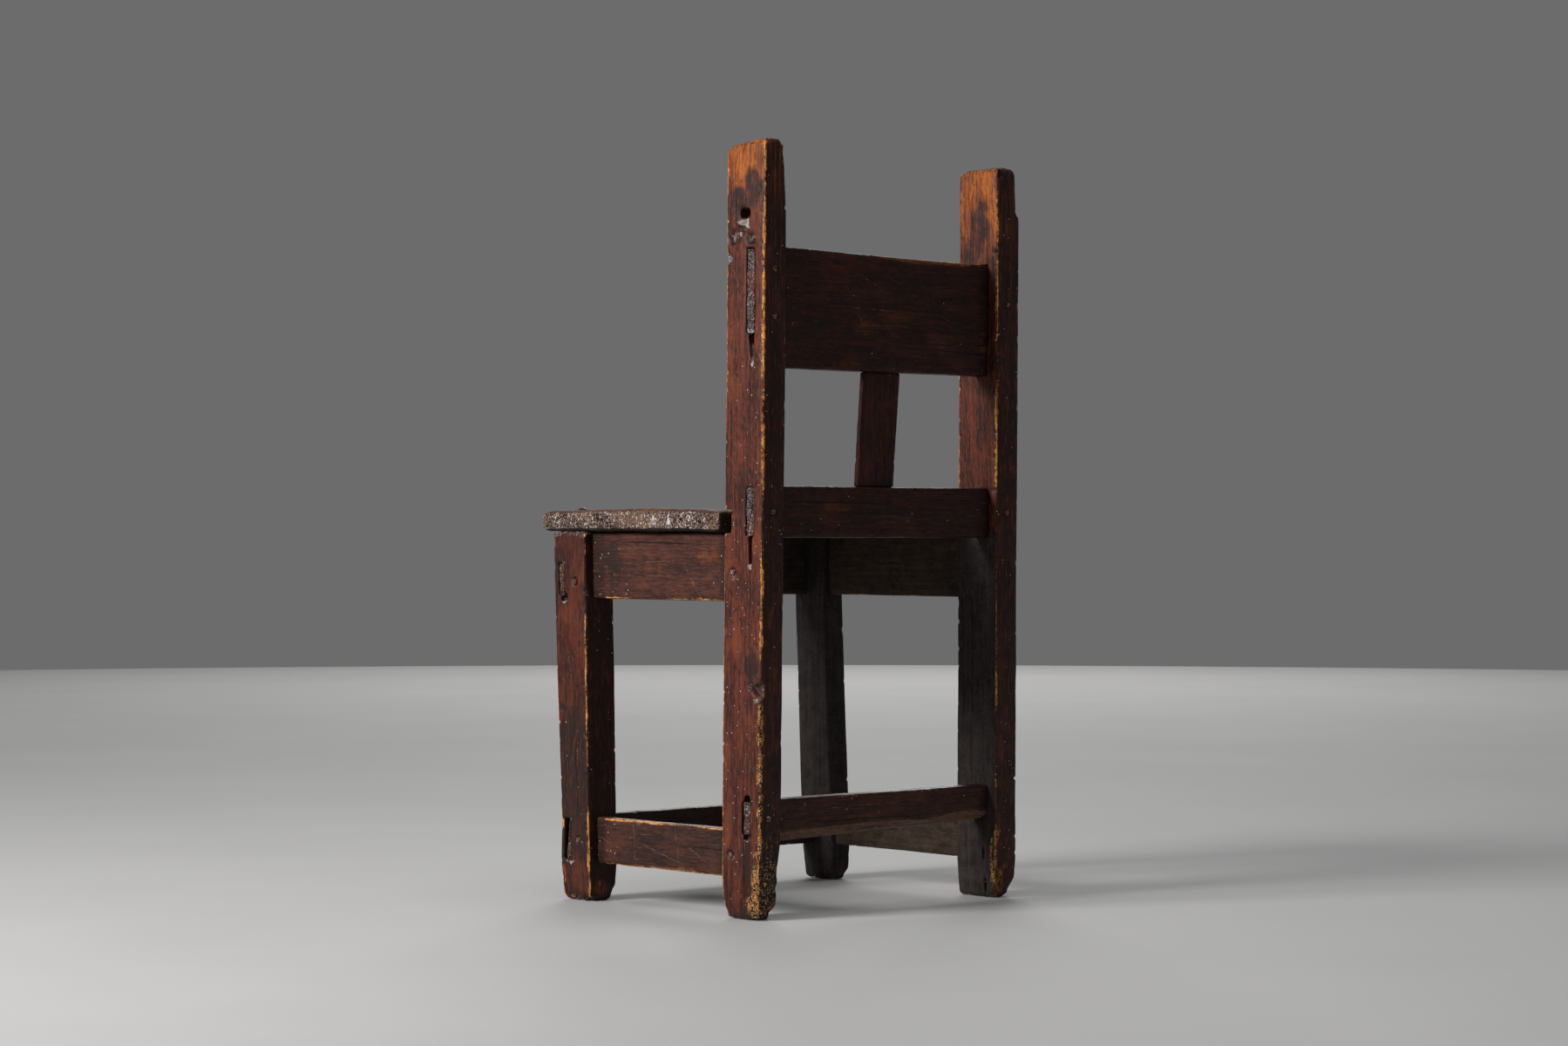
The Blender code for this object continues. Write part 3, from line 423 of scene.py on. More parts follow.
def eggCutter(name, place, radii, seed):
    # a lumpy egg, for holes
    form = bmesh.new()
    bmesh.ops.create_icosphere(form, subdivisions=4, radius=1.0)
    lumps = 1 + 0.16 * latticeNoise(np.array([v.co for v in form.verts]), 0.8, seed)
    for vert, lump in zip(form.verts, lumps):
        vert.co = Vector(place) + Vector([c * lump * r for c, r in zip(vert.co, radii)])
    return linkMesh(name, form)


def roughOut(nodeName, pieceName, voxel, cutters=()):
    # copy the plain part, cut it, and give it an even fine mesh to work on
    form = bmesh.new()
    form.from_mesh(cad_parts[nodeName].data)
    bmesh.ops.remove_doubles(form, verts=form.verts, dist=0.002 * mm)
    piece = linkMesh(pieceName, form)
    for cutter in cutters:
        boolean = piece.modifiers.new(cutter.name, "BOOLEAN")
        boolean.operation = "DIFFERENCE"
        boolean.solver = "EXACT"
        boolean.object = cutter
    remesh = piece.modifiers.new("fineMesh", "REMESH")
    remesh.mode = "VOXEL"
    remesh.voxel_size = voxel
    remesh.use_smooth_shade = True
    worked = bpy.data.meshes.new_from_object(piece.evaluated_get(bpy.context.evaluated_depsgraph_get()))
    worked.name = pieceName
    piece.modifiers.clear()
    piece.data = worked
    for cutter in cutters:
        bpy.data.objects.remove(cutter)
    return piece


# the faces of a piece: the way in from each, the way it looks, and its axis
inward = {"left": (-1, 0, 0), "right": (1, 0, 0), "rear": (0, -1, 0), "front": (0, 1, 0), "top": (0, 0, -1),
          "under": (0, 0, 1)}
towards = {face: -np.array(way, float) for face, way in inward.items()}
faceAxis = {face: [abs(k) for k in way].index(1) for face, way in inward.items()}


def looksTo(normals, face, low=0.4, high=0.8):
    # 1 where a point looks towards a face, 0 where it looks elsewhere
    return step01(normals @ towards[face], low, high)


def castIn(nodeName, face, place):
    # where a line from outside meets a face of the plain part, or None
    start = Vector(place)
    start[faceAxis[face]] = towards[face][faceAxis[face]]
    found, spot, _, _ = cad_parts[nodeName].ray_cast(start, Vector(inward[face]))
    return spot if found else None


def faceAt(nodeName, face, z):
    # where a side of an upright stands at a height, past its mortises
    low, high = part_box(nodeName)
    axis = faceAxis[face]
    far = towards[face][axis]
    hits = []
    for share in (0.2, 0.35, 0.5, 0.65, 0.8):
        start = low + (high - low) * share
        start.z = min(max(z, low.z + mm), high.z - mm)
        spot = castIn(nodeName, face, start)
        if spot:
            hits.append(spot[axis] * far)
    return max(hits) * far


def uprightSpot(nodeName, face, across, height):
    # across: mm behind the front edge on the left and right faces, right of the left edge on the others
    z = height * mm
    if faceAxis[face] == 0:
        return Vector((faceAt(nodeName, face, z), faceAt(nodeName, "front", z) + across * mm, z))
    return Vector((faceAt(nodeName, "left", z) - across * mm, faceAt(nodeName, face, z), z))


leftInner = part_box("left_rear_post")[0].x
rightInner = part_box("right_rear_post")[1].x
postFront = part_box("left_rear_post")[0].y
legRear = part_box("left_front_leg")[1].y
acrossJoints = (leftInner, rightInner)
sideJoints = (legRear, postFront)


def railSpot(nodeName, face, along, up):
    # along: mm from the shoulder at the left, or at the front of a side rail; up: from the under side
    low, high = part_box(nodeName)
    place = Vector((low + high) / 2)
    if high.x - low.x > high.y - low.y:
        place.x = leftInner - along * mm
    else:
        place.y = legRear + along * mm
    place.z = low.z + up * mm
    return castIn(nodeName, face, place) or place


def sliceRange(points, grain, axis):
    # for every point, how far the piece reaches along an axis in the slice across the grain there
    slices = np.floor(points[:, grain] / (5 * mm)).astype(int)
    slices -= slices.min()
    low = np.full(slices.max() + 1, np.inf)
    high = np.full(slices.max() + 1, -np.inf)
    np.minimum.at(low, slices, points[:, axis])
    np.maximum.at(high, slices, points[:, axis])
    return low[slices], high[slices]


def insideBy(points, grain, axis):
    # how far each point lies inside the piece along an axis
    low, high = sliceRange(points, grain, axis)
    return np.minimum(points[:, axis] - low, high - points[:, axis])


def facing(normals, shares):
    # product of the shares of the faces that each point looks towards
    total = np.ones(len(normals))
    for face, share in shares.items():
        total *= 1 + (share - 1) * looksTo(normals, face, 0.15, 0.5)
    return total


def dentShare(points, place, radii, seed, raggedness=0.35):
    away = np.sqrt((((points - np.asarray(place)) / np.asarray(radii)) ** 2).sum(1))
    away += raggedness * latticeNoise(points, np.mean(radii) * 0.6, seed)
    return 1 - step01(away, 0.35, 1.0)


# the dirt mask holds dirt in hollows, dents, feet and joints, and painted shade on the rear faces and at the
# seat's shoulder
maskNames = ("arris", "rub", "dirt", "raw", "rot", "endGrain", "crack", "scratch", "paint")
noSeam = 40.0  # mm from a crack or scratch that isn't there


def blankWork(points, normals, seed=0):
    # a piece on the bench: its points, and masks for the finish with nothing worn yet
    work = {"points": points, "normals": normals, "seed": seed}
    for name in maskNames:
        work[name] = np.full(len(points), noSeam if name in ("crack", "scratch") else 0.0)
    return work


plainWear = {
    "rounding": 0.45, "softness": 2.3 * mm, "topRound": 0.0, "knock": 0.45 * mm, "wave": 0.30 * mm,
    "ripple": 0.12 * mm, "nick": 0.9 * mm, "pitted": 0.5 * mm, "ochre": 1.0, "ochreFaces": {},
    "fineEdge": 0.1,
    "arrisReach": 5.5 * mm, "topReach": 7 * mm, "lumps": {  # size of the lumps of each kind of wear
        "rounding": 12 * mm, "wave": 40 * mm, "ripple": 6 * mm, "nick": 4.5 * mm, "pitted": 3.2 * mm,
        "knock": 6 * mm, "ochre": 11 * mm},
}


def wearDown(piece, wear):
    # wear the arrises, wave the faces and keep masks for the finish
    points, normals = readMesh(piece.data)
    edges = np.empty(len(piece.data.edges) * 2, np.int32)
    piece.data.edges.foreach_get("vertices", edges)
    edges = edges.reshape(-1, 2)
    seed, grain, voxel, lumps = wear["seed"], wear["grain"], wear["voxel"], wear["lumps"]
    longSize = np.ones(3)
    longSize[grain] = 4.0
    # 1 along the four long arrises, 0 on the faces and in the mortises
    gaps = [insideBy(points, grain, axis) for axis in range(3) if axis != grain]
    corner = 1 - step01(np.maximum(*gaps), wear["arrisReach"] * 0.6, wear["arrisReach"])
    corner *= 1 - step01(np.abs(normals[:, grain]), 0.35, 0.7)
    for place in wear.get("joints", ()):  # the arrises stay crisp where a rail meets a post
        corner *= step01(np.abs(points[:, grain] - place), 1 * mm, 12 * mm)
    atTop = wear["topRound"] * step01(points[:, 2].max() - points[:, 2], wear["topReach"], 3 * mm)
    fine = softened(points, edges, max(2, round((2.0 * mm / voxel) ** 2)))
    sharp = ((points - fine) * normals).sum(1) / (0.31 * mm)
    wide = softened(fine, edges, round((wear["softness"] / voxel) ** 2))
    worn = wear["rounding"] * (0.55 + 0.6 * layeredNoise(points, lumps["rounding"] * longSize, seed))
    worn = np.clip(np.maximum(worn, atTop), 0, 1) * np.maximum(corner, atTop)
    points = points + (wide - points) * worn[:, None]
    wave = wear["wave"] * layeredNoise(points, lumps["wave"] * longSize, seed + 3, 2)
    wave += wear["ripple"] * layeredNoise(points, lumps["ripple"] * longSize, seed + 5, 2)
    nicks = step01(latticeNoise(points, lumps["nick"], seed + 7), 0.45, 0.9) * corner
    endGrain = step01(np.abs(normals[:, grain]), 0.6, 0.9)
    pitted = wear["pitted"] * endGrain * layeredNoise(points, lumps["pitted"], seed + 9, 2)
    knocks = step01(latticeNoise(points, lumps["knock"] * longSize ** 0.4, seed + 19), 0.55, 0.95)
    points = points + normals * (wave + pitted - wear["nick"] * nicks - wear["knock"] * knocks)[:, None]
    stretches = 0.88 + 0.75 * layeredNoise(points, lumps["ochre"] * longSize, seed + 13, 2)
    arris = np.clip((sharp - wear["fineEdge"]) / (1 - wear["fineEdge"]), 0, 1.1) * corner
    arris *= np.clip(stretches, 0, 1.1) * wear["ochre"] * facing(normals, wear["ochreFaces"])
    work = blankWork(points, normals, seed)
    work.update(arris=arris, endGrain=endGrain, dirt=np.clip(-sharp, 0, 1) + 0.5 * knocks)
    return work


def startPiece(nodeName, wear, cutters=()):
    piece = roughOut(nodeName, "worn_" + nodeName, wear["voxel"], cutters)
    return piece, wearDown(piece, {**plainWear, **wear})


def knockIn(work, place, face, wide, tall, deep, rub=0.0, dirt=0.0, raggedness=0.35):
    # a dent, scoop or rubbed patch on a face; deep is in mm, and 0 leaves the shape
    push = np.array(inward[face], float)
    radii = np.where(np.abs(push) > 0, max(abs(deep) * 2.5, 4.0), wide / 2) * mm
    radii[1 if faceAxis[face] == 2 else 2] = tall / 2 * mm
    share = dentShare(work["points"], place, radii, work["seed"] + 29, raggedness)
    work["points"] = work["points"] + push * (share * deep * mm)[:, None]
    work["rub"] = work["rub"] + rub * share
    work["dirt"] = work["dirt"] + dirt * share


def addSeam(work, name, face, start, end):
    # signed distance in mm from a line on one face, which the finish turns into a crack or a scratch
    u, v = [k for k in range(3) if k != faceAxis[face]]
    points = work["points"]
    run = np.array([end[u] - start[u], end[v] - start[v]])
    length = np.hypot(*run)
    run = run / length
    offU, offV = points[:, u] - start[u], points[:, v] - start[v]
    t = offU * run[0] + offV * run[1]
    off = (offU * -run[1] + offV * run[0]) / mm
    past = np.clip(np.maximum(-t, t - length), 0, None) / mm
    away = 30 * looksTo(work["normals"], face, 0.7, 0.4)
    value = np.where(off < 0, -1, 1) * (np.abs(off) + 0.3 * past + away)
    work[name] = np.where(np.abs(value) < np.abs(work[name]), value, work[name])


def knockAll(work, wear, nodeName, spotOn, raggedness):
    # dents by face: along or across, up or height, wide, tall, deep, rub, dirt and shade
    for face, dents in wear.get("dents", {}).items():
        for along, up, *knock in dents:
            knockIn(work, spotOn(nodeName, face, along, up), face, *knock, raggedness=raggedness)


def seamAll(work, wear, nodeName, spotOn):
    # face, one end, other end
    for name, key in (("crack", "cracks"), ("scratch", "scratches")):
        for face, along, up, alongEnd, upEnd in wear.get(key, ()):
            start, end = spotOn(nodeName, face, along, up), spotOn(nodeName, face, alongEnd, upEnd)
            addSeam(work, name, face, start, end)


def eatAway(work, place, radii, deep, rot, rub):
    # rotten or worm-eaten wood: a ragged loss in a patch
    points = work["points"]
    share = dentShare(points, place, np.asarray(radii) * mm, work["seed"] + 31, 0.5)
    lumps = 0.55 + 0.7 * layeredNoise(points, 5.5 * mm, work["seed"] + 37, 3)
    work["points"] = points - work["normals"] * (share * np.clip(lumps, 0, None) * deep * mm)[:, None]
    work["rot"] = work["rot"] + rot * share
    work["rub"] = work["rub"] + rub * share


def liftAt(y):
    # the seat board has sprung up a little, less towards the rear posts
    return 1.3 * mm * step01(y, postFront - 7 * mm, postFront - 43 * mm)


def meetSeat(work, grain):
    # the middle of the top carries the seat, and a worn rim around it leaves a dark gap
    points = work["points"]
    inside = np.full(len(points), 1.0)
    for axis in {0, 1} - {grain}:
        inside = np.minimum(inside, insideBy(points, grain, axis))
    top = points[:, 2].max()
    middle = step01(inside, 1 * mm, 4 * mm) * step01(points[:, 2], top - 3 * mm, top - 1.5 * mm)
    points[:, 2] += (liftAt(points[:, 1]) + 0.2 * mm) * middle


def putOn(piece, nodeName):
    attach(piece, "root")
    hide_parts(nodeName)


def settle(piece, nodeName, finish, work):
    # write the worked mesh and its masks, then seat the piece on the frame
    mesh = piece.data
    work["points"][:, 2] = np.maximum(work["points"][:, 2], 0)
    mesh.vertices.foreach_set("co", work["points"].ravel())
    mesh.update()
    for name in maskNames:
        layer = mesh.attributes.new(name, "FLOAT", "POINT")
        layer.data.foreach_set("value", np.asarray(work[name], np.float32))
    mesh.materials.clear()
    mesh.materials.append(woods[finish])
    mesh.shade_smooth()
    putOn(piece, nodeName)


def faceCutter(nodeName, face, outer, inner, deep):
    # a cut with straight sides from a face inwards, drawn by its outer and inner outlines
    way = Vector(inward[face])
    rings = []
    for outline, level in ((outer, -2.0), (inner, deep)):
        rings.append([uprightSpot(nodeName, face, across, height) + way * level * mm
                      for across, height in outline])
    return lofted("faceCut", rings)


# the uprights are a little stouter than squared up:
# how far each right face stands out, in mm at the floor and at the top
swells = {"left_rear_post": (1.8, 2.0), "right_rear_post": (1.2, 2.0), "left_front_leg": (1.1, 1.6),
          "right_front_leg": (2.6, 1.4)}


def swellAt(nodeName, z):
    atFloor, atTop = swells[nodeName]
    return (atFloor + (atTop - atFloor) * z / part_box(nodeName)[1].z) * mm


def wearUpright(nodeName, wear):
    seed = wear["seed"]
    cutters = [faceCutter(nodeName, face, *cut)
               for face, cuts in wear.get("cuts", {}).items() for cut in cuts]
    if "hole" in wear:
        across, height, radii = wear["hole"]
        place = uprightSpot(nodeName, "left", across, height)
        cutters.append(eggCutter("knotHole", place, [r * mm for r in radii], seed))
    piece, work = startPiece(nodeName, {"grain": 2, **wear}, cutters)
    points, normals = work["points"], work["normals"]
    low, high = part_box(nodeName)
    z = points[:, 2].copy()
    points[:, 0] -= swellAt(nodeName, z) * np.clip((high.x - points[:, 0]) / (high.x - low.x), 0, 1)
    if "topTilt" in wear:  # the top falls towards the front
        front, rear = faceAt(nodeName, "front", high.z), faceAt(nodeName, "rear", high.z)
        forward = np.clip((rear - points[:, 1]) / (rear - front), 0, 1)
        points[:, 2] -= wear["topTilt"] * mm * forward * step01(z, high.z - 16 * mm, high.z - 2 * mm)
    if "topRub" in wear:  # hands wore the stain off the tops
        rub = wear["topRub"]
        patchy = 0.85 + 0.5 * layeredNoise(points, np.array([9, 9, 26]) * mm, seed + 41, 2)
        work["rub"] += (rub["strength"] * step01(high.z - z, rub["from"] * mm, rub["to"] * mm) * patchy
                        * facing(normals, rub["faces"]))
    # feet: dark and gnawed underneath
    work["dirt"] += 0.8 * step01(z, 12 * mm, 1 * mm)
    gnawed = np.clip(layeredNoise(points * np.array([1, 1, 0]), 7 * mm, seed + 43, 2), 0, 1)
    points[:, 2] += wear["gnaw"] * mm * gnawed * step01(z, 5 * mm, 0)
    for face, dirt in wear.get("shadedFaces", {}).items():  # painted shade: faces turned from the light are darkened through the dirt mask
        work["dirt"] += dirt * looksTo(normals, face)
    # inner faces under the seat were never stained
    dry = np.max([looksTo(normals, face) for face in wear["dryFaces"]], axis=0)
    work["raw"] += dry * step01(z, 304 * mm, 296 * mm)
    for xFace, yFace, height, radii, push, rub in wear["corners"]:
        level = height * mm
        place = (faceAt(nodeName, xFace, level), faceAt(nodeName, yFace, level), level)
        share = dentShare(work["points"], place, np.asarray(radii) * mm, seed + 47, 0.2)
        work["points"] = work["points"] + np.asarray(push) * mm * share[:, None]
        work["rub"] += rub * share
    knockAll(work, wear, nodeName, uprightSpot, 0.35)
    for pegName, face, wide, tall, deep, rub in wear.get("pegHollows", ()):
        place = (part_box(pegName)[0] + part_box(pegName)[1]) / 2
        axis = faceAxis[face]
        place[axis] = faceAt(nodeName, face, place.z)
        around = work["points"] - np.asarray(place)
        reach = np.sqrt((around[:, 1 - axis] / (wide / 2 * mm)) ** 2 + (around[:, 2] / (tall / 2 * mm)) ** 2)
        rim = step01(reach, 0.75, 0.95) * step01(reach, 1.5, 1.1) * looksTo(normals, face)
        broken = np.clip(0.6 + 0.9 * latticeNoise(work["points"], 3 * mm, seed + 67), 0, 1)
        work["arris"] += rub * rim * broken
        knockIn(work, place, face, wide * 1.3, tall * 1.3, deep, 0, 0.7, 0.2)
    for across, height, wide, tall, grey, pale in wear.get("tornAndGlint", ()):
        place = uprightSpot(nodeName, "left", across, height)
        radii = np.array([7, wide / 2, tall / 2]) * mm
        share = dentShare(work["points"], place, radii, seed + 71, 0.6)
        work["endGrain"] += grey * share
        work["paint"] += pale * share
    for face, across, height, *loss in wear.get("eaten", ()):
        eatAway(work, uprightSpot(nodeName, face, across, height), *loss)
    seamAll(work, wear, nodeName, uprightSpot)
    if wear.get("carriesSeat"):
        meetSeat(work, 2)
    settle(piece, nodeName, wear["finish"], work)


# left rear post, nearest in the picture: heights in mm above the floor
leftPost = {
    "finish": "stainedUprightWood", "voxel": 1.0 * mm, "seed": 11, "gnaw": 1.4, "dryFaces": ("right",),
    "topRound": 1.0, "topTilt": 3.8, "ochreFaces": {"right": 0.55, "front": 1.4},
    # the rear faces are darkened: painted shade
    "topRub": {"strength": 1.05, "from": 78, "to": 4, "faces": {"rear": 0.45}}, "shadedFaces": {"rear": 0.5},
    "hole": (21.8, 545.2, (11, 5.6, 5.2)),  # in the left face: across, height, radii
    # cuts by face: outer outline, inner outline, deep
    "cuts": {"left": [
        ([(26.0, 458), (34.0, 458), (34.4, 429), (29.2, 430)],
         [(26.6, 458), (33.2, 458), (33.0, 434), (30.0, 434)], 2.6),  # below the crest tenon
        ([(26.0, 458), (31.0, 458), (30.6, 440), (28.2, 440)],
         [(26.4, 458), (30.6, 458), (30.2, 443), (28.8, 443)], 6.0),
        ([(28.2, 524), (34.2, 524), (33.6, 532), (29.0, 530)],
         [(28.6, 519), (33.8, 519), (33.2, 528), (29.8, 527)], 2.2),  # above the crest tenon
        ([(28.2, 298), (33.0, 298), (33.7, 271.6), (29.6, 272.6)],
         [(28.6, 298), (32.4, 298), (32.6, 277), (30.2, 277)], 6.0),  # below the lower rail tenon
        ([(25.2, 88), (33.6, 88), (32.2, 96.4), (26.4, 96.4)],
         [(25.4, 88), (33.4, 88), (32.0, 96.0), (26.6, 96.0)], 7.0),  # above the stretcher tenon
        ([(25.4, 70), (33.6, 70), (33.6, 61.2), (25.4, 60.8)],
         [(25.6, 70), (33.4, 70), (33.2, 62.4), (25.8, 62.0)], 5.0),
        ([(25.2, 61), (34.2, 61), (35.4, 14), (25.2, 12)],
         [(25.6, 61), (33.4, 61), (33.0, 20), (25.8, 18)], 1.0),  # groove below it
        ([(25.6, 183), (50.0, 185), (50.0, 172), (41.0, 167)],
         [(33.0, 181), (51.0, 184), (51.0, 176), (43.0, 172)], 4.0),  # gouge in the rear edge
    ]},
    "dents": {
        "left": [
            (21.0, 535, 13, 15, 4.0, -0.3, 0.2), (27.0, 526, 12, 12, 2.4, -0.2, 0.5),
            (10.5, 529, 16, 20, 2.6, -0.3, 0.5), (6.5, 524, 8, 10, 1.2, 0.0, 0.4),
            (11.5, 549, 12, 7, 0.2, 0.6), (14.0, 537, 6, 6, -0.7, 0.2, -0.2),
            (3.0, 511, 10, 15, 2.0, 0.1, 0.6), (0.5, 461, 4, 6, 1.2, 0.6),
            (35.0, 197, 24, 34, 0.4, -0.2, 0.8), (44.5, 216, 5, 12, 1.2, 0.4, 0.2),
            (13.5, 557, 28, 26, 0.0, -0.7, 0.7), (31.0, 565, 26, 36, 0.0, -0.6, 0.65),
            (30.0, 40, 12, 70, 0.0, -0.3, 0.8), (12.0, 470, 24, 60, 0.0, 0.1, -0.2),
            (29.5, 227.6, 5, 5, 1.0, 0.0, 0.9), (38.4, 212.2, 5, 6, 1.0, 0.1, 0.8),
            (19.9, 231.5, 3, 4, 0.8, 0.0, 0.9), (14.0, 420, 4, 4, 0.7, 0.0, 0.8)],
        # the rear one has no shape and darkens the foot's rear face: painted shade
        "rear": [(10.0, 25, 40, 90, 0.0, 0.0, 0.9)]},
    # peg, face, wide, tall, deep, how bright the rim
    "pegHollows": [("left_seat_rail_peg_rear", "left", 7, 10.5, 0.8, 0.5),
                   ("left_stretcher_peg_rear", "left", 7, 8, 0.6, 0.5)],
    # torn wood with pale chips in the left face: across, height, wide, tall, how grey, how pale; the pale on
    # and beside the lip of the knot hole is a painted highlight
    "tornAndGlint": [
        (20.8, 537.5, 14, 11, 0.9, 1.3), (17.5, 529, 13, 9, 0.7, 0.7), (11.0, 527, 14, 13, 0.5, 0.55),
        (30.0, 526, 7, 8, 0.7, 0.55), (3.0, 510, 8, 13, 0.9, 0.6), (32.0, 432, 5, 9, 0.8, 0.4),
        (31.5, 428, 6, 5, 0.0, 0.7), (31.6, 273, 6, 6, 0.9, 0.7), (40.0, 170.5, 9, 9, 0.8, 0.5),
        (32.0, 180, 10, 8, 0.6, 0.4), (29.8, 60.5, 9, 4, 0.8, 0.7), (11.7, 267, 8, 13, 0.8, 0.5),
        (14.0, 48, 7, 9, 0.0, 0.45)],
    # face, across, height, radii, deep, rot, rub
    "eaten": [
        ("rear", 10, 20, (24, 15, 42), 2.4, 1.0, 0.0), ("left", 44, 14, (9, 19, 42), 1.6, 0.95, 0.3),
        *(("rear", 0.5, height, (4.5, 4.5, 28), 0.9, rot, 0.7)  # down the rear edge
          for height, rot in ((60, 1.1), (96, 1.0), (128, 1.05), (154, 1.05)))],
    # the two faces that meet, height, radii, push, rub
    "corners": [
        ("left", "front", 0, (12, 10, 13), (-1.0, 2.6, 0), 0.4),
        ("right", "rear", 0, (14, 14, 15), (4.0, -4.0, 0), 0.3),
        ("right", "rear", 22, (12, 12, 44), (1.2, -1.4, 0), 0.0),
        ("left", "rear", 0, (10, 10, 11), (-1.6, -2.4, 0), 0.3),
        ("left", "front", 599, (34, 6, 6), (0, 0.6, -0.8), 0.0)],
    "cracks": [("left", 25.2, 63, 25.0, 6), ("left", 29.6, 428, 29.4, 412), ("left", 31.0, 274, 32.0, 246),
               ("rear", 8.0, 400, 8.6, 250)],
    "scratches": [("left", 12, 390, 13, 350), ("left", 34, 150, 33, 118), ("left", 31, 262, 30, 236)],
}
rightPost = {
    "finish": "stainedUprightWood", "voxel": 1.2 * mm, "seed": 23, "gnaw": 1.8, "dryFaces": ("left",),
    "topRound": 1.0, "ochre": 0.95, "ochreFaces": {"right": 0.45},
    # the rear faces are darkened: painted shade
    "topRub": {"strength": 0.95, "from": 130, "to": 8, "faces": {"rear": 0.35}}, "shadedFaces": {"rear": 0.5},
    "cuts": {
        "right": [([(38.0, 640), (60, 640), (60, 556), (38.0, 554)],
                   [(43.0, 640), (60, 640), (60, 560), (43.0, 560)], 3.4)],  # split off at the top
        "left": [([(29.0, 58), (31.6, 58), (32.2, -2), (29.2, -2)],
                  [(29.8, 56), (31.0, 56), (31.4, -2), (30.2, -2)], 5.0)]},  # crack above the foot
    "dents": {
        "rear": [(4.5, 591, 7, 8, 2.8, -0.3, 0.9), (23.5, 97, 12, 3.4, 2.6, 0.0, 0.4)],
        "right": [(44.0, 300, 6, 40, 1.5, 0.3, 0.2)],
        "left": [(12.0, 160, 14, 26, 0.9, 0.3, 0.5), (26.0, 552, 24, 50, 0.0, -0.55, 0.45),
                 (12.0, 522, 14, 30, 0.0, -0.35, 0.35)]},
    "pegHollows": [("crest_peg_right", "rear", 6.5, 7, 0.5, 0.6)],
    "eaten": [("rear", 4.0, 12, (10, 8, 26), 0.8, 0.75, 1.1), ("rear", 1.0, 42, (5, 6, 34), 0.6, 0.7, 0.9)],
    "corners": [
        ("right", "rear", 0, (14, 14, 18), (4.0, -2.5, 0), 0.1),
        ("right", "front", 0, (10, 10, 12), (2.0, 2.0, 0), 0.2),
        ("left", "front", 597, (26, 6, 5), (0, 0.4, -0.6), 0.0)],
    "cracks": [("left", 18.0, 240, 19.0, 150)],
    "scratches": [("left", 20, 420, 21, 380)],
}
leftLeg = {
    "finish": "stainedLegWood", "voxel": 1.0 * mm, "seed": 37, "gnaw": 1.6, "dryFaces": ("right",),
    "topRound": 0.3, "ochre": 1.15, "ochreFaces": {"right": 0.4, "front": 1.3}, "fineEdge": 0.45,
    # the rear faces are darkened: painted shade
    "carriesSeat": True, "shadedFaces": {"rear": 0.5},
    "cuts": {"left": [([(8.6, 250), (16.8, 250), (16.4, 242.4), (8.6, 242.4)],
                       [(8.8, 250), (16.6, 250), (16.2, 243.0), (8.8, 243.0)], 4.0)]},  # below the rail tenon
    "dents": {
        "left": [
            (37.0, 40, 5, 16, 2.0, -0.2, 0.8), (1.0, 24, 6, 24, 1.2, 0.9), (38.0, 297, 8, 6, 1.2, 0.6),
            (0.5, 290, 5, 12, 1.2, 0.6), (8.0, 297.5, 10, 4, 0.8, 0.6), (22.0, 297.5, 12, 4, 0.8, 0.5),
            (14.0, 2, 10, 8, 2.2, 0.0, 0.7), (26.0, 2, 7, 7, 1.8, 0.3, 0.5), (33.0, 12, 6, 22, 0.4, 0.9),
            (18.0, 80, 90, 200, 0.0, 0.0, 0.6)],
        "rear": [(12.0, 10, 26, 16, 0.6, 0.5, 0.3)]},
    "pegHollows": [("left_seat_rail_peg_front", "left", 6.4, 9.5, 0.9, 0.7),
                   ("left_stretcher_peg_front", "left", 6.0, 7.0, 0.7, 0.7)],
    "tornAndGlint": [
        (12.8, 242.3, 9, 4, 0.9, 0.7), (13.2, 274.5, 7, 4, 0.9, 0.6), (10.0, 30.8, 10, 5, 0.8, 0.7),
        (5.0, 297, 12, 4, 0.6, 0.5), (31.0, 297, 12, 4, 0.6, 0.5), (12.5, 65, 5, 4, 0.0, 0.55),
        (28.5, 258, 5, 7, 0.0, 0.4), (25.8, 49, 6, 8, 0.0, 0.5)],
    "eaten": [("left", 9, 1, (8, 8, 7), 2.0, 0.95, 0.0), ("left", 25, 1, (8, 7, 8), 2.2, 1.0, 0.0),
              ("left", 36, 5, (6, 5, 24), 0.8, 0.7, 0.4)],
    "corners": [
        ("left", "front", 14, (18, 15, 70), (0, -2.8, 0), 0.0),
        ("left", "front", 0, (7, 7, 7), (-0.8, 1.4, 0), 0.4),
        ("right", "rear", 0, (13, 13, 15), (2.8, -1.4, 0), 0.1)],
    "cracks": [("left", 22.0, 120, 22.5, 75)],
    "scratches": [("left", 16, 200, 20, 180), ("left", 26, 140, 24, 116)],
}
rightLeg = {
    "finish": "stainedLegWood", "voxel": 1.3 * mm, "seed": 41, "gnaw": 2.0, "dryFaces": ("left", "rear"),
    "ochre": 0.4, "fineEdge": 0.3, "carriesSeat": True,
    "dents": {"rear": [(3.0, 150, 9, 260, 1.2, 0.0, 0.1)], "left": [(10.0, 90, 12, 40, 0.9, 0.0, 0.6)]},
    "corners": [("left", "rear", 0, (10, 10, 11), (-2.4, -2.4, 0), 0.3),
                ("right", "rear", 0, (10, 10, 11), (2.4, -2.4, 0), 0.3)],
}
wearUpright("left_rear_post", leftPost)
wearUpright("right_rear_post", rightPost)
wearUpright("left_front_leg", leftLeg)
wearUpright("right_front_leg", rightLeg)
print("uprights worn: 4")


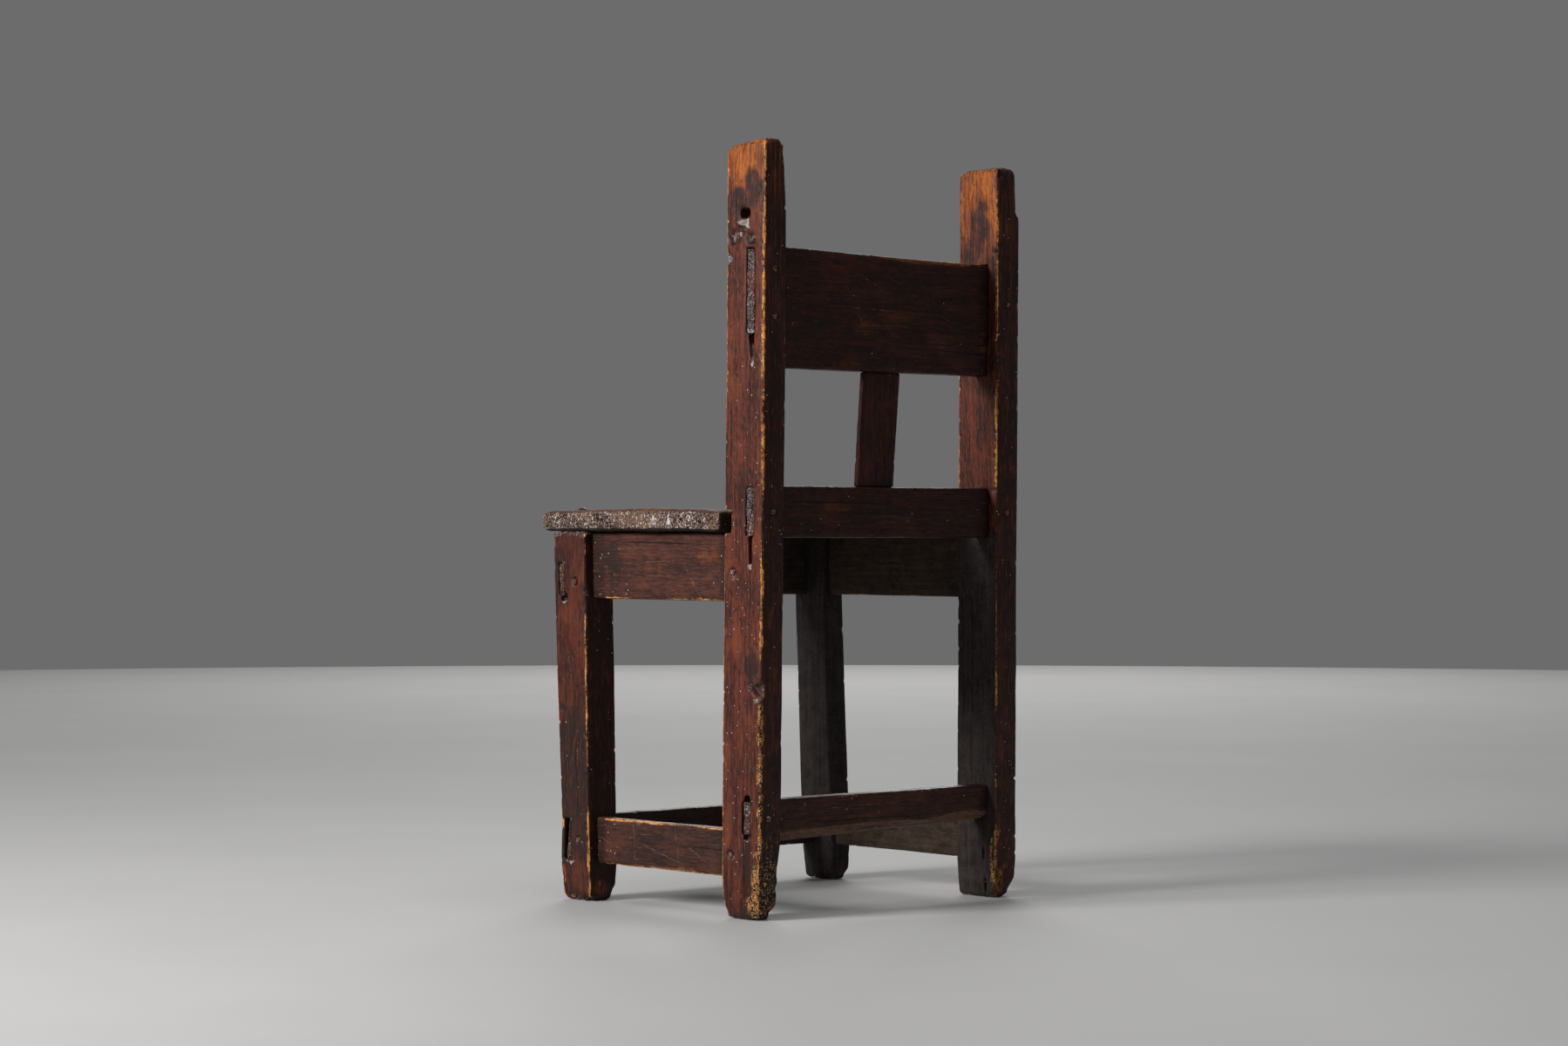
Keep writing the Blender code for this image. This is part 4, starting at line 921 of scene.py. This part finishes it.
def wearRail(nodeName, wear):
    low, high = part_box(nodeName)
    cutters = []
    if "skewedTenon" in wear:  # the tenon was cut short on the skew and leaves a wedge of its mortise open
        skew = wear["skewedTenon"]
        front = low.y - 1 * mm
        cutters.append(lofted("skewCut", [
            [(x, front, high.z), (x, low.y + skew["top"] * mm, high.z),
             (x, low.y + skew["foot"] * mm, low.z), (x, front, low.z)]
            for x in (high.x + 2 * mm, high.x - skew["long"] * mm)]))
    piece, work = startPiece(nodeName, wear, cutters)
    points, normals, seed, grain = work["points"], work["normals"], wear["seed"], wear["grain"]
    recess = wear.get("recess", 0) * mm  # end grain of the through tenons sits a little inside the uprights
    stouter = swellAt(wear["rightUpright"], (low.z + high.z) / 2) if "rightUpright" in wear else 0
    for end, inwards in ((low[grain], recess - stouter), (high[grain], -recess)):
        points[:, grain] += inwards * (1 - step01(np.abs(points[:, grain] - end), 2 * mm, 5 * mm))
    # 0 to 1 between the shoulders of a cross rail
    run = (leftInner - points[:, 0]) / (leftInner - rightInner)
    if "topSkew" in wear:  # the top edge isn't parallel to the lower one
        atLeft, atRight = wear["topSkew"]
        rise = np.clip((points[:, 2] - low.z) / (high.z - low.z), 0, 1)
        shown = step01(run, -0.02, 0) * step01(run, 1.02, 1)
        points[:, 2] += (atLeft + (atRight - atLeft) * np.clip(run, 0, 1)) * mm * rise * shown
    if "splitEdge" in wear:  # split off along the lower rear edge, which left bare torn wood
        split = wear["splitEdge"]
        bottom, _ = sliceRange(points, grain, 2)
        ragged = 1 + 0.35 * layeredNoise(points, np.array([45, 12, 4]) * mm, seed + 73, 2)
        fall = np.clip(1 - (points[:, 2] - bottom) / (split["tall"] * mm * ragged), 0, 1)
        fall *= (run > 0) * (run < 1)
        points[:, 1] -= split["deep"] * mm * fall * np.clip((points[:, 1] - low.y) / (high.y - low.y), 0, 1)
        work["rub"] += split["rub"] * step01(fall, 0.05, 0.25) * looksTo(normals, "rear", 0.2, 0.6)
    if "dryFace" in wear:
        work["raw"] += wear.get("dryness", 1.0) * looksTo(normals, wear["dryFace"])
    bottom, top = sliceRange(points, grain, 2)
    patchy = 0.6 + 0.6 * layeredNoise(points, 20 * mm, seed + 53, 2)
    for key, inside in (("topRub", top - points[:, 2]), ("underRub", points[:, 2] - bottom)):
        work["rub"] += wear.get(key, 0) * patchy * step01(inside, 3.2 * mm, 0.6 * mm)
    for place in wear["joints"]:  # grime gathers in the corners of the joints
        work["dirt"] += 0.7 * (1 - step01(np.abs(points[:, grain] - place), 3 * mm, 16 * mm))
    knockAll(work, wear, nodeName, railSpot, 0.5)
    seamAll(work, wear, nodeName, railSpot)
    if wear.get("carriesSeat"):
        meetSeat(work, grain)
    settle(piece, nodeName, wear["finish"], work)


# what the boards of the back, the side members and the front members have in common
backBoard = {"voxel": 1.2 * mm, "grain": 0, "finish": "stainedBackWood", "slot": "back_wood",
             "joints": acrossJoints, "recess": 1.3, "rightUpright": "right_rear_post"}
sideMember = {"voxel": 1.5 * mm, "grain": 1, "finish": "stainedSideRailWood", "slot": "rail_wood",
              "joints": sideJoints}
frontMember = {"voxel": 1.5 * mm, "grain": 0, "finish": "stainedFrontRailWood", "slot": "rail_wood",
               "joints": acrossJoints, "recess": 1.2, "rightUpright": "right_front_leg", "dryFace": "rear"}
seatCarrier = {"ochreFaces": {"top": 0.1}, "underRub": 0.5, "carriesSeat": True}
crest = {
    **backBoard, "seed": 51, "topSkew": (1.8, -1.8), "ochre": 0.75, "ochreFaces": {"under": 0.5},
    "dents": {"rear": [
        (165, 92, 160, 8, 0.5, 1.3), (114, 40, 100, 30, 0.3, 0.3), (180, 28, 70, 30, 0.4, 0.3),
        (96, 72, 20, 10, 0.3, 0.35), (40, 30, 60, 40, 0.3, 0.0, 0.5), (140, 70, 60, 24, 0.0, 0.0, 0.4),
        (165, 3, 14, 6, 1.2, 0.4, 0.2), (228, 30, 12, 60, 0.0, 0.35)]},
    "cracks": [("rear", 60, 52, 190, 49), ("rear", 140, 20, 228, 18)],
    "scratches": [("rear", 138, 68, 148, 63), ("rear", 76, 50, 120, 49), ("rear", 92, 75, 104, 70),
                  ("rear", 88, 45, 91, 40)],
}
lowerRail = {
    **backBoard, "seed": 53, "ochre": 0.6,
    "dents": {"rear": [(70, 24, 60, 12, 0.3, 0.3), (200, 10, 60, 12, 0.4, 0.0, 0.5),
                       (130, 16, 90, 16, 0.2, 0.3)]},
    "cracks": [("rear", 20, 28, 120, 27)],
}
splat = {"voxel": 1.1 * mm, "seed": 57, "grain": 2, "finish": "stainedSplatWood", "slot": "back_wood",
         "joints": (), "ochre": 0.25, "rounding": 0.5}
leftSeatRail = {
    **sideMember, **seatCarrier, "voxel": 1.4 * mm, "seed": 61, "dryFace": "right", "underRub": 0.7,
    "fineEdge": 0.4,
    "dents": {"left": [
        (122, 1.5, 10, 5, 1.4, 1.2), (115, 14, 4, 10, 0.3, 0.6), (80, 26, 60, 18, 0.2, 0.3),
        (130, 36, 40, 20, 0.2, 0.3), (20, 30, 26, 50, 0.0, 0.0, 0.5)]},
    "cracks": [("left", 40, 46, 100, 45)],
    "scratches": [("left", 108, 24, 118, 10), ("left", 60, 30, 90, 31), ("left", 20, 40, 50, 41)],
}
rightSeatRail = {**sideMember, **seatCarrier, "seed": 63, "dryFace": "left", "fineEdge": 0.4}
frontSeatRail = {**frontMember, **seatCarrier, "seed": 67, "ochre": 0.6}
leftStretcher = {
    **sideMember, "voxel": 1.2 * mm, "seed": 71, "finish": "stainedStretcherWood", "dryFace": "right",
    "topRub": 0.7, "underRub": 0.8, "ochre": 0.9, "fineEdge": 0.4,
    "dents": {"left": [(30, 36, 12, 5, 1.2, 0.6), (52, 36, 8, 4, 1.0, 0.5), (90, 2, 60, 6, 0.6, 0.5)]},
    "cracks": [("left", 120, 21, 157, 20)],
    "scratches": [("left", 44, 36, 47, 2), ("left", 94, 34, 98, 8), ("left", 8, 20, 46, 8),
                  ("left", 52, 20, 96, 8), ("left", 48, 27, 62, 27), ("left", 110, 20, 126, 12)],
}
rightStretcher = {**sideMember, "seed": 73, "dryFace": "left", "topRub": 0.4, "underRub": 0.3, "ochre": 0.6}
frontStretcher = {**frontMember, "voxel": 1.3 * mm, "seed": 79, "dryness": 0.6, "topRub": 0.3, "ochre": 0.5,
                  "skewedTenon": {"long": 12, "top": 7.0, "foot": 2.6}}
backStretcher = {
    **backBoard, "seed": 83, "finish": "stainedCrossRailWood", "slot": "rail_wood", "recess": 1.6,
    "dryFace": "front", "topRub": 0.3, "ochre": 0.6, "splitEdge": {"tall": 9.0, "deep": 3.2, "rub": 1.1},
    "dents": {"rear": [(190, 30, 30, 8, 0.8, 0.3, 0.2), (90, 20, 40, 14, 0.4, 0.2, 0.2)]},
    "cracks": [("rear", 50, 14, 150, 13)],
    "scratches": [("rear", 60, 24, 110, 25)],
}
rails = {
    "crest_rail": crest, "lower_back_rail": lowerRail, "back_splat": splat,
    "left_seat_rail": leftSeatRail, "right_seat_rail": rightSeatRail, "front_seat_rail": frontSeatRail,
    "left_stretcher": leftStretcher, "right_stretcher": rightStretcher,
    "front_stretcher": frontStretcher, "back_stretcher": backStretcher,
}
for nodeName, wear in rails.items():
    wearRail(nodeName, wear)
print("rails worn:", len(rails))

# seat board: crowned, rough at the ends of its grain, with two dabs of old paint
seatWear = {
    "voxel": 1.5 * mm, "seed": 91, "grain": 0, "pitted": 1.0 * mm, "ochre": 0.6, "wave": 0.5 * mm,
    "crown": {"front": 2.0, "rear": 0.5}, "frontTip": {"reach": 12, "top": 6.5, "under": 1.2},
    "sat": {"radii": (0.12, 0.10, 0.03), "deep": 1.2, "rub": 0.34},
    # along from the front, up, half width, half height, strength
    "paintDabs": [(151, 10, 6.0, 9, 0.62), (167, 9, 3.2, 9, 0.75), (136, 10, 12, 7, 0.36),
                  (60, 6, 30, 6, 0.10)],
    "cracks": [(60, 20, 150), (118, 90, 260), (171, 30, 120)],  # along from the front, from the left, to
}


def wearSeat(nodeName, wear):
    low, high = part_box(nodeName)
    piece, work = startPiece(nodeName, wear)
    points, normals, seed = work["points"], work["normals"], wear["seed"]
    shoulder = postFront - 3 * mm
    run = np.clip((points[:, 1] - low.y) / (shoulder - low.y), 0, 1)
    upper = np.clip((points[:, 2] - low.z) / (high.z - low.z), 0, 1)
    falls = np.where(run < 0.5, wear["crown"]["front"], wear["crown"]["rear"])
    points[:, 2] -= falls * mm * (2 * run - 1) ** 2 * upper * step01(run, 1.0, 0.97)
    tip = wear["frontTip"]  # the front edge is rounded over, mostly from above
    nose = np.clip(1 - (points[:, 1] - low.y) / (tip["reach"] * mm), 0, 1)
    points[:, 2] += mm * (1 - np.sqrt(1 - nose ** 2)) * ((1 - upper) * tip["under"] - upper * tip["top"])
    points[:, 2] += liftAt(points[:, 1])
    rough = layeredNoise(points, 9 * mm, seed + 59, 3) * work["endGrain"]
    points += normals * (0.6 * mm * rough)[:, None]
    work["raw"] += 0.9 * looksTo(normals, "under")
    sat = dentShare(points, (0, (low.y + high.y) / 2, high.z), wear["sat"]["radii"], seed + 61, 0.3)
    sat *= looksTo(normals, "top", 0.3, 0.8)
    points[:, 2] -= wear["sat"]["deep"] * mm * sat
    work["rub"] += wear["sat"]["rub"] * sat + 0.35 * step01(work["arris"], 0.2, 0.8)
    # painted shade: the side faces where the seat narrows at the rear posts are darkened
    shoulderShade = step01(points[:, 1], shoulder - 2 * mm, shoulder)
    work["dirt"] += 2.0 * shoulderShade * looksTo(normals, "top", 0.7, 0.4)
    for along, up, halfWide, halfTall, strength in wear["paintDabs"]:
        off = ((points[:, 1] - low.y) / mm - along) / halfWide
        rise = ((points[:, 2] - low.z) / mm - up) / halfTall
        dab = 1 - step01(np.sqrt(off ** 2 + rise ** 2), 0.2, 1.4)
        work["paint"] += strength * dab * looksTo(normals, "left", 0.1, 0.5) * (points[:, 0] > 0)
    for along, first, last in wear["cracks"]:
        start, end = (Vector((high.x - x * mm, low.y + along * mm, high.z)) for x in (first, last))
        addSeam(work, "crack", "top", start, end)
    settle(piece, nodeName, "rubbedSeatWood", work)


wearSeat("seat_board", seatWear)
print("seat worn")

# pegs: whittled by hand, each a little different
pegSet = {"sides": 14, "rings": 9, "whittle": 0.10, "dome": 0.7 * mm, "tilt": 0.12, "seed": 7,
          "dusty": ("left_seat_rail_peg_rear", "left_stretcher_peg_rear", "back_stretcher_peg_left")}


def whittlePeg(nodeName, number):
    low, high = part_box(nodeName)
    size = high - low
    axis = max(range(3), key=lambda k: size[k])
    across = [k for k in range(3) if k != axis]
    head = 1 if (low + high)[axis] > 0 else -1
    centre = (low + high) / 2
    radius = min(size) / 2
    dome = pegSet["dome"]
    draw = np.random.default_rng(pegSet["seed"] + number)
    flats = 1 + pegSet["whittle"] * draw.uniform(-1, 0.3, pegSet["sides"])
    far = size[axis] / 2  # from the middle to the head, which comes out flush on a stouter upright too
    if axis == 0 and head < 0:
        far += swellAt("right_rear_post" if centre.y > 0 else "right_front_leg", centre.z)
    levels = np.linspace(-size[axis] / 2, far - dome, pegSet["rings"])
    shape = [(level, 1.0 if i else 0.75) for i, level in enumerate(levels)]
    shape += [(far - dome * 0.35, 0.86), (far, 0.45)]
    tilt = draw.uniform(-pegSet["tilt"], pegSet["tilt"], 2)
    rings = []
    for level, share in shape:
        ring = []
        for i in range(pegSet["sides"]):
            angle = 2 * math.pi * i / pegSet["sides"]
            reach = radius * share * flats[i] * (1 + 0.03 * draw.uniform(-1, 1))
            spot = centre.copy()
            spot[axis] += head * level
            spot[across[0]] += reach * math.cos(angle)
            spot[across[1]] += reach * math.sin(angle)
            if share < 1.0 and level > 0:
                spot[axis] += head * reach * (tilt[0] * math.cos(angle) + tilt[1] * math.sin(angle))
            ring.append(spot)
        rings.append(ring)
    piece = lofted("whittled_" + nodeName, rings)
    work = blankWork(*readMesh(piece.data))
    off = work["points"] - np.asarray(centre)
    beyond = off[:, axis] * head - far
    wide = np.hypot(off[:, across[0]], off[:, across[1]])
    work["arris"] = step01(beyond, -1.2 * dome, -0.8 * dome) * step01(wide, radius * 0.55, radius * 0.8)
    work["endGrain"] = step01(beyond, -2.2 * mm, -0.7 * mm)
    work["rub"] += 0.2
    finish = "dustyPegWood" if nodeName in pegSet["dusty"] else "whittledPegWood"
    settle(piece, nodeName, finish, work)


pegNames = [name for name in sorted(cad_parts) if "_peg" in name]
for number, nodeName in enumerate(pegNames):
    whittlePeg(nodeName, number)
print("pegs whittled:", len(pegNames))

# nails: square forged shanks under hammered rose heads
nailSet = {"sides": 12, "iron": (0.040, 0.034, 0.031), "bright": (0.115, 0.105, 0.098),
           "rust": (0.125, 0.048, 0.020), "shank": 3.0 * mm, "point": 1.1 * mm, "taper": 9 * mm, "facets": 5,
           "raised": 0.4 * mm, "seed": 5}


def ironFinish():
    material, tree, shader, where = newFinish("forgedIron")
    scale = cloudNoise(tree, where, 700, 4.0, 0.6)
    bloom = cloudNoise(tree, stretched(tree, where, shift=(4, 4, 4)), 380, 4.0, 0.65)
    colour = blend(tree, ease(tree, scale, 0.42, 0.66), nailSet["iron"], nailSet["bright"])
    rusty = ease(tree, bloom, 0.46, 0.64)
    tree.links.new(blend(tree, rusty, colour, nailSet["rust"]), shader.inputs["Base Color"])
    tree.links.new(ease(tree, rusty, 0, 1, 0.42, 0.85), shader.inputs["Roughness"])
    tree.links.new(ease(tree, rusty, 0, 1, 0.85, 0.1), shader.inputs["Metallic"])
    bump = addNode(tree, "Bump", {"Height": weighted(tree, (scale, 0.6), (bloom, 0.5)), "Strength": 0.5,
                                  "Distance": 0.3 * mm})
    tree.links.new(bump.outputs["Normal"], shader.inputs["Normal"])
    return material


def forgeNail(nodeName, number, finish):
    low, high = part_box(nodeName)
    centre = (low + high) / 2
    draw = np.random.default_rng(nailSet["seed"] + number)
    radius = (high.x - low.x) / 2
    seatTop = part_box("seat_board")[1].z
    tall = high.z - seatTop  # of the head
    under = seatTop + nailSet["raised"]  # the worn seat stands a little higher here
    turn = draw.uniform(0, 1.5)
    bite = 1 + 0.10 * draw.uniform(-1, 0.2, nailSet["sides"])
    shank = nailSet["shank"]
    # height, reach, and whether the nail is square there
    profile = [(low.z, nailSet["point"], True), (low.z + nailSet["taper"], shank * 0.75, True),
               (under + tall * 0.1, shank, True), (under + tall * 0.12, radius * 0.92, False),
               (under + tall * 0.32, radius, False), (under + tall * 0.62, radius * 0.74, False),
               (under + tall * 0.94, radius * 0.36, False), (under + tall, radius * 0.14, False)]
    rings = []
    for z, reach, square in profile:
        ring = []
        for i in range(nailSet["sides"]):
            angle = 2 * math.pi * i / nailSet["sides"]
            if square:
                reachHere = reach / 2 / max(abs(math.cos(angle)), abs(math.sin(angle)))
            else:
                facet = math.pi / nailSet["facets"]
                flat = math.cos(facet) / math.cos((angle + turn) % (2 * facet) - facet)
                reachHere = reach * bite[i] * (0.75 + 0.25 * flat)
            ring.append((centre.x + reachHere * math.cos(angle), centre.y + reachHere * math.sin(angle), z))
        rings.append(ring)
    nail = lofted("forged_" + nodeName, rings)
    soften = nail.modifiers.new("soften", "BEVEL")
    soften.width = 0.15 * mm
    soften.segments = 2
    soften.limit_method = "ANGLE"
    nail.data.materials.append(finish)
    nail.data.shade_smooth()
    putOn(nail, nodeName)


iron = ironFinish()
for number, nodeName in enumerate(("seat_nail_left", "seat_nail_right")):
    forgeNail(nodeName, number, iron)
print("nails forged: 2")
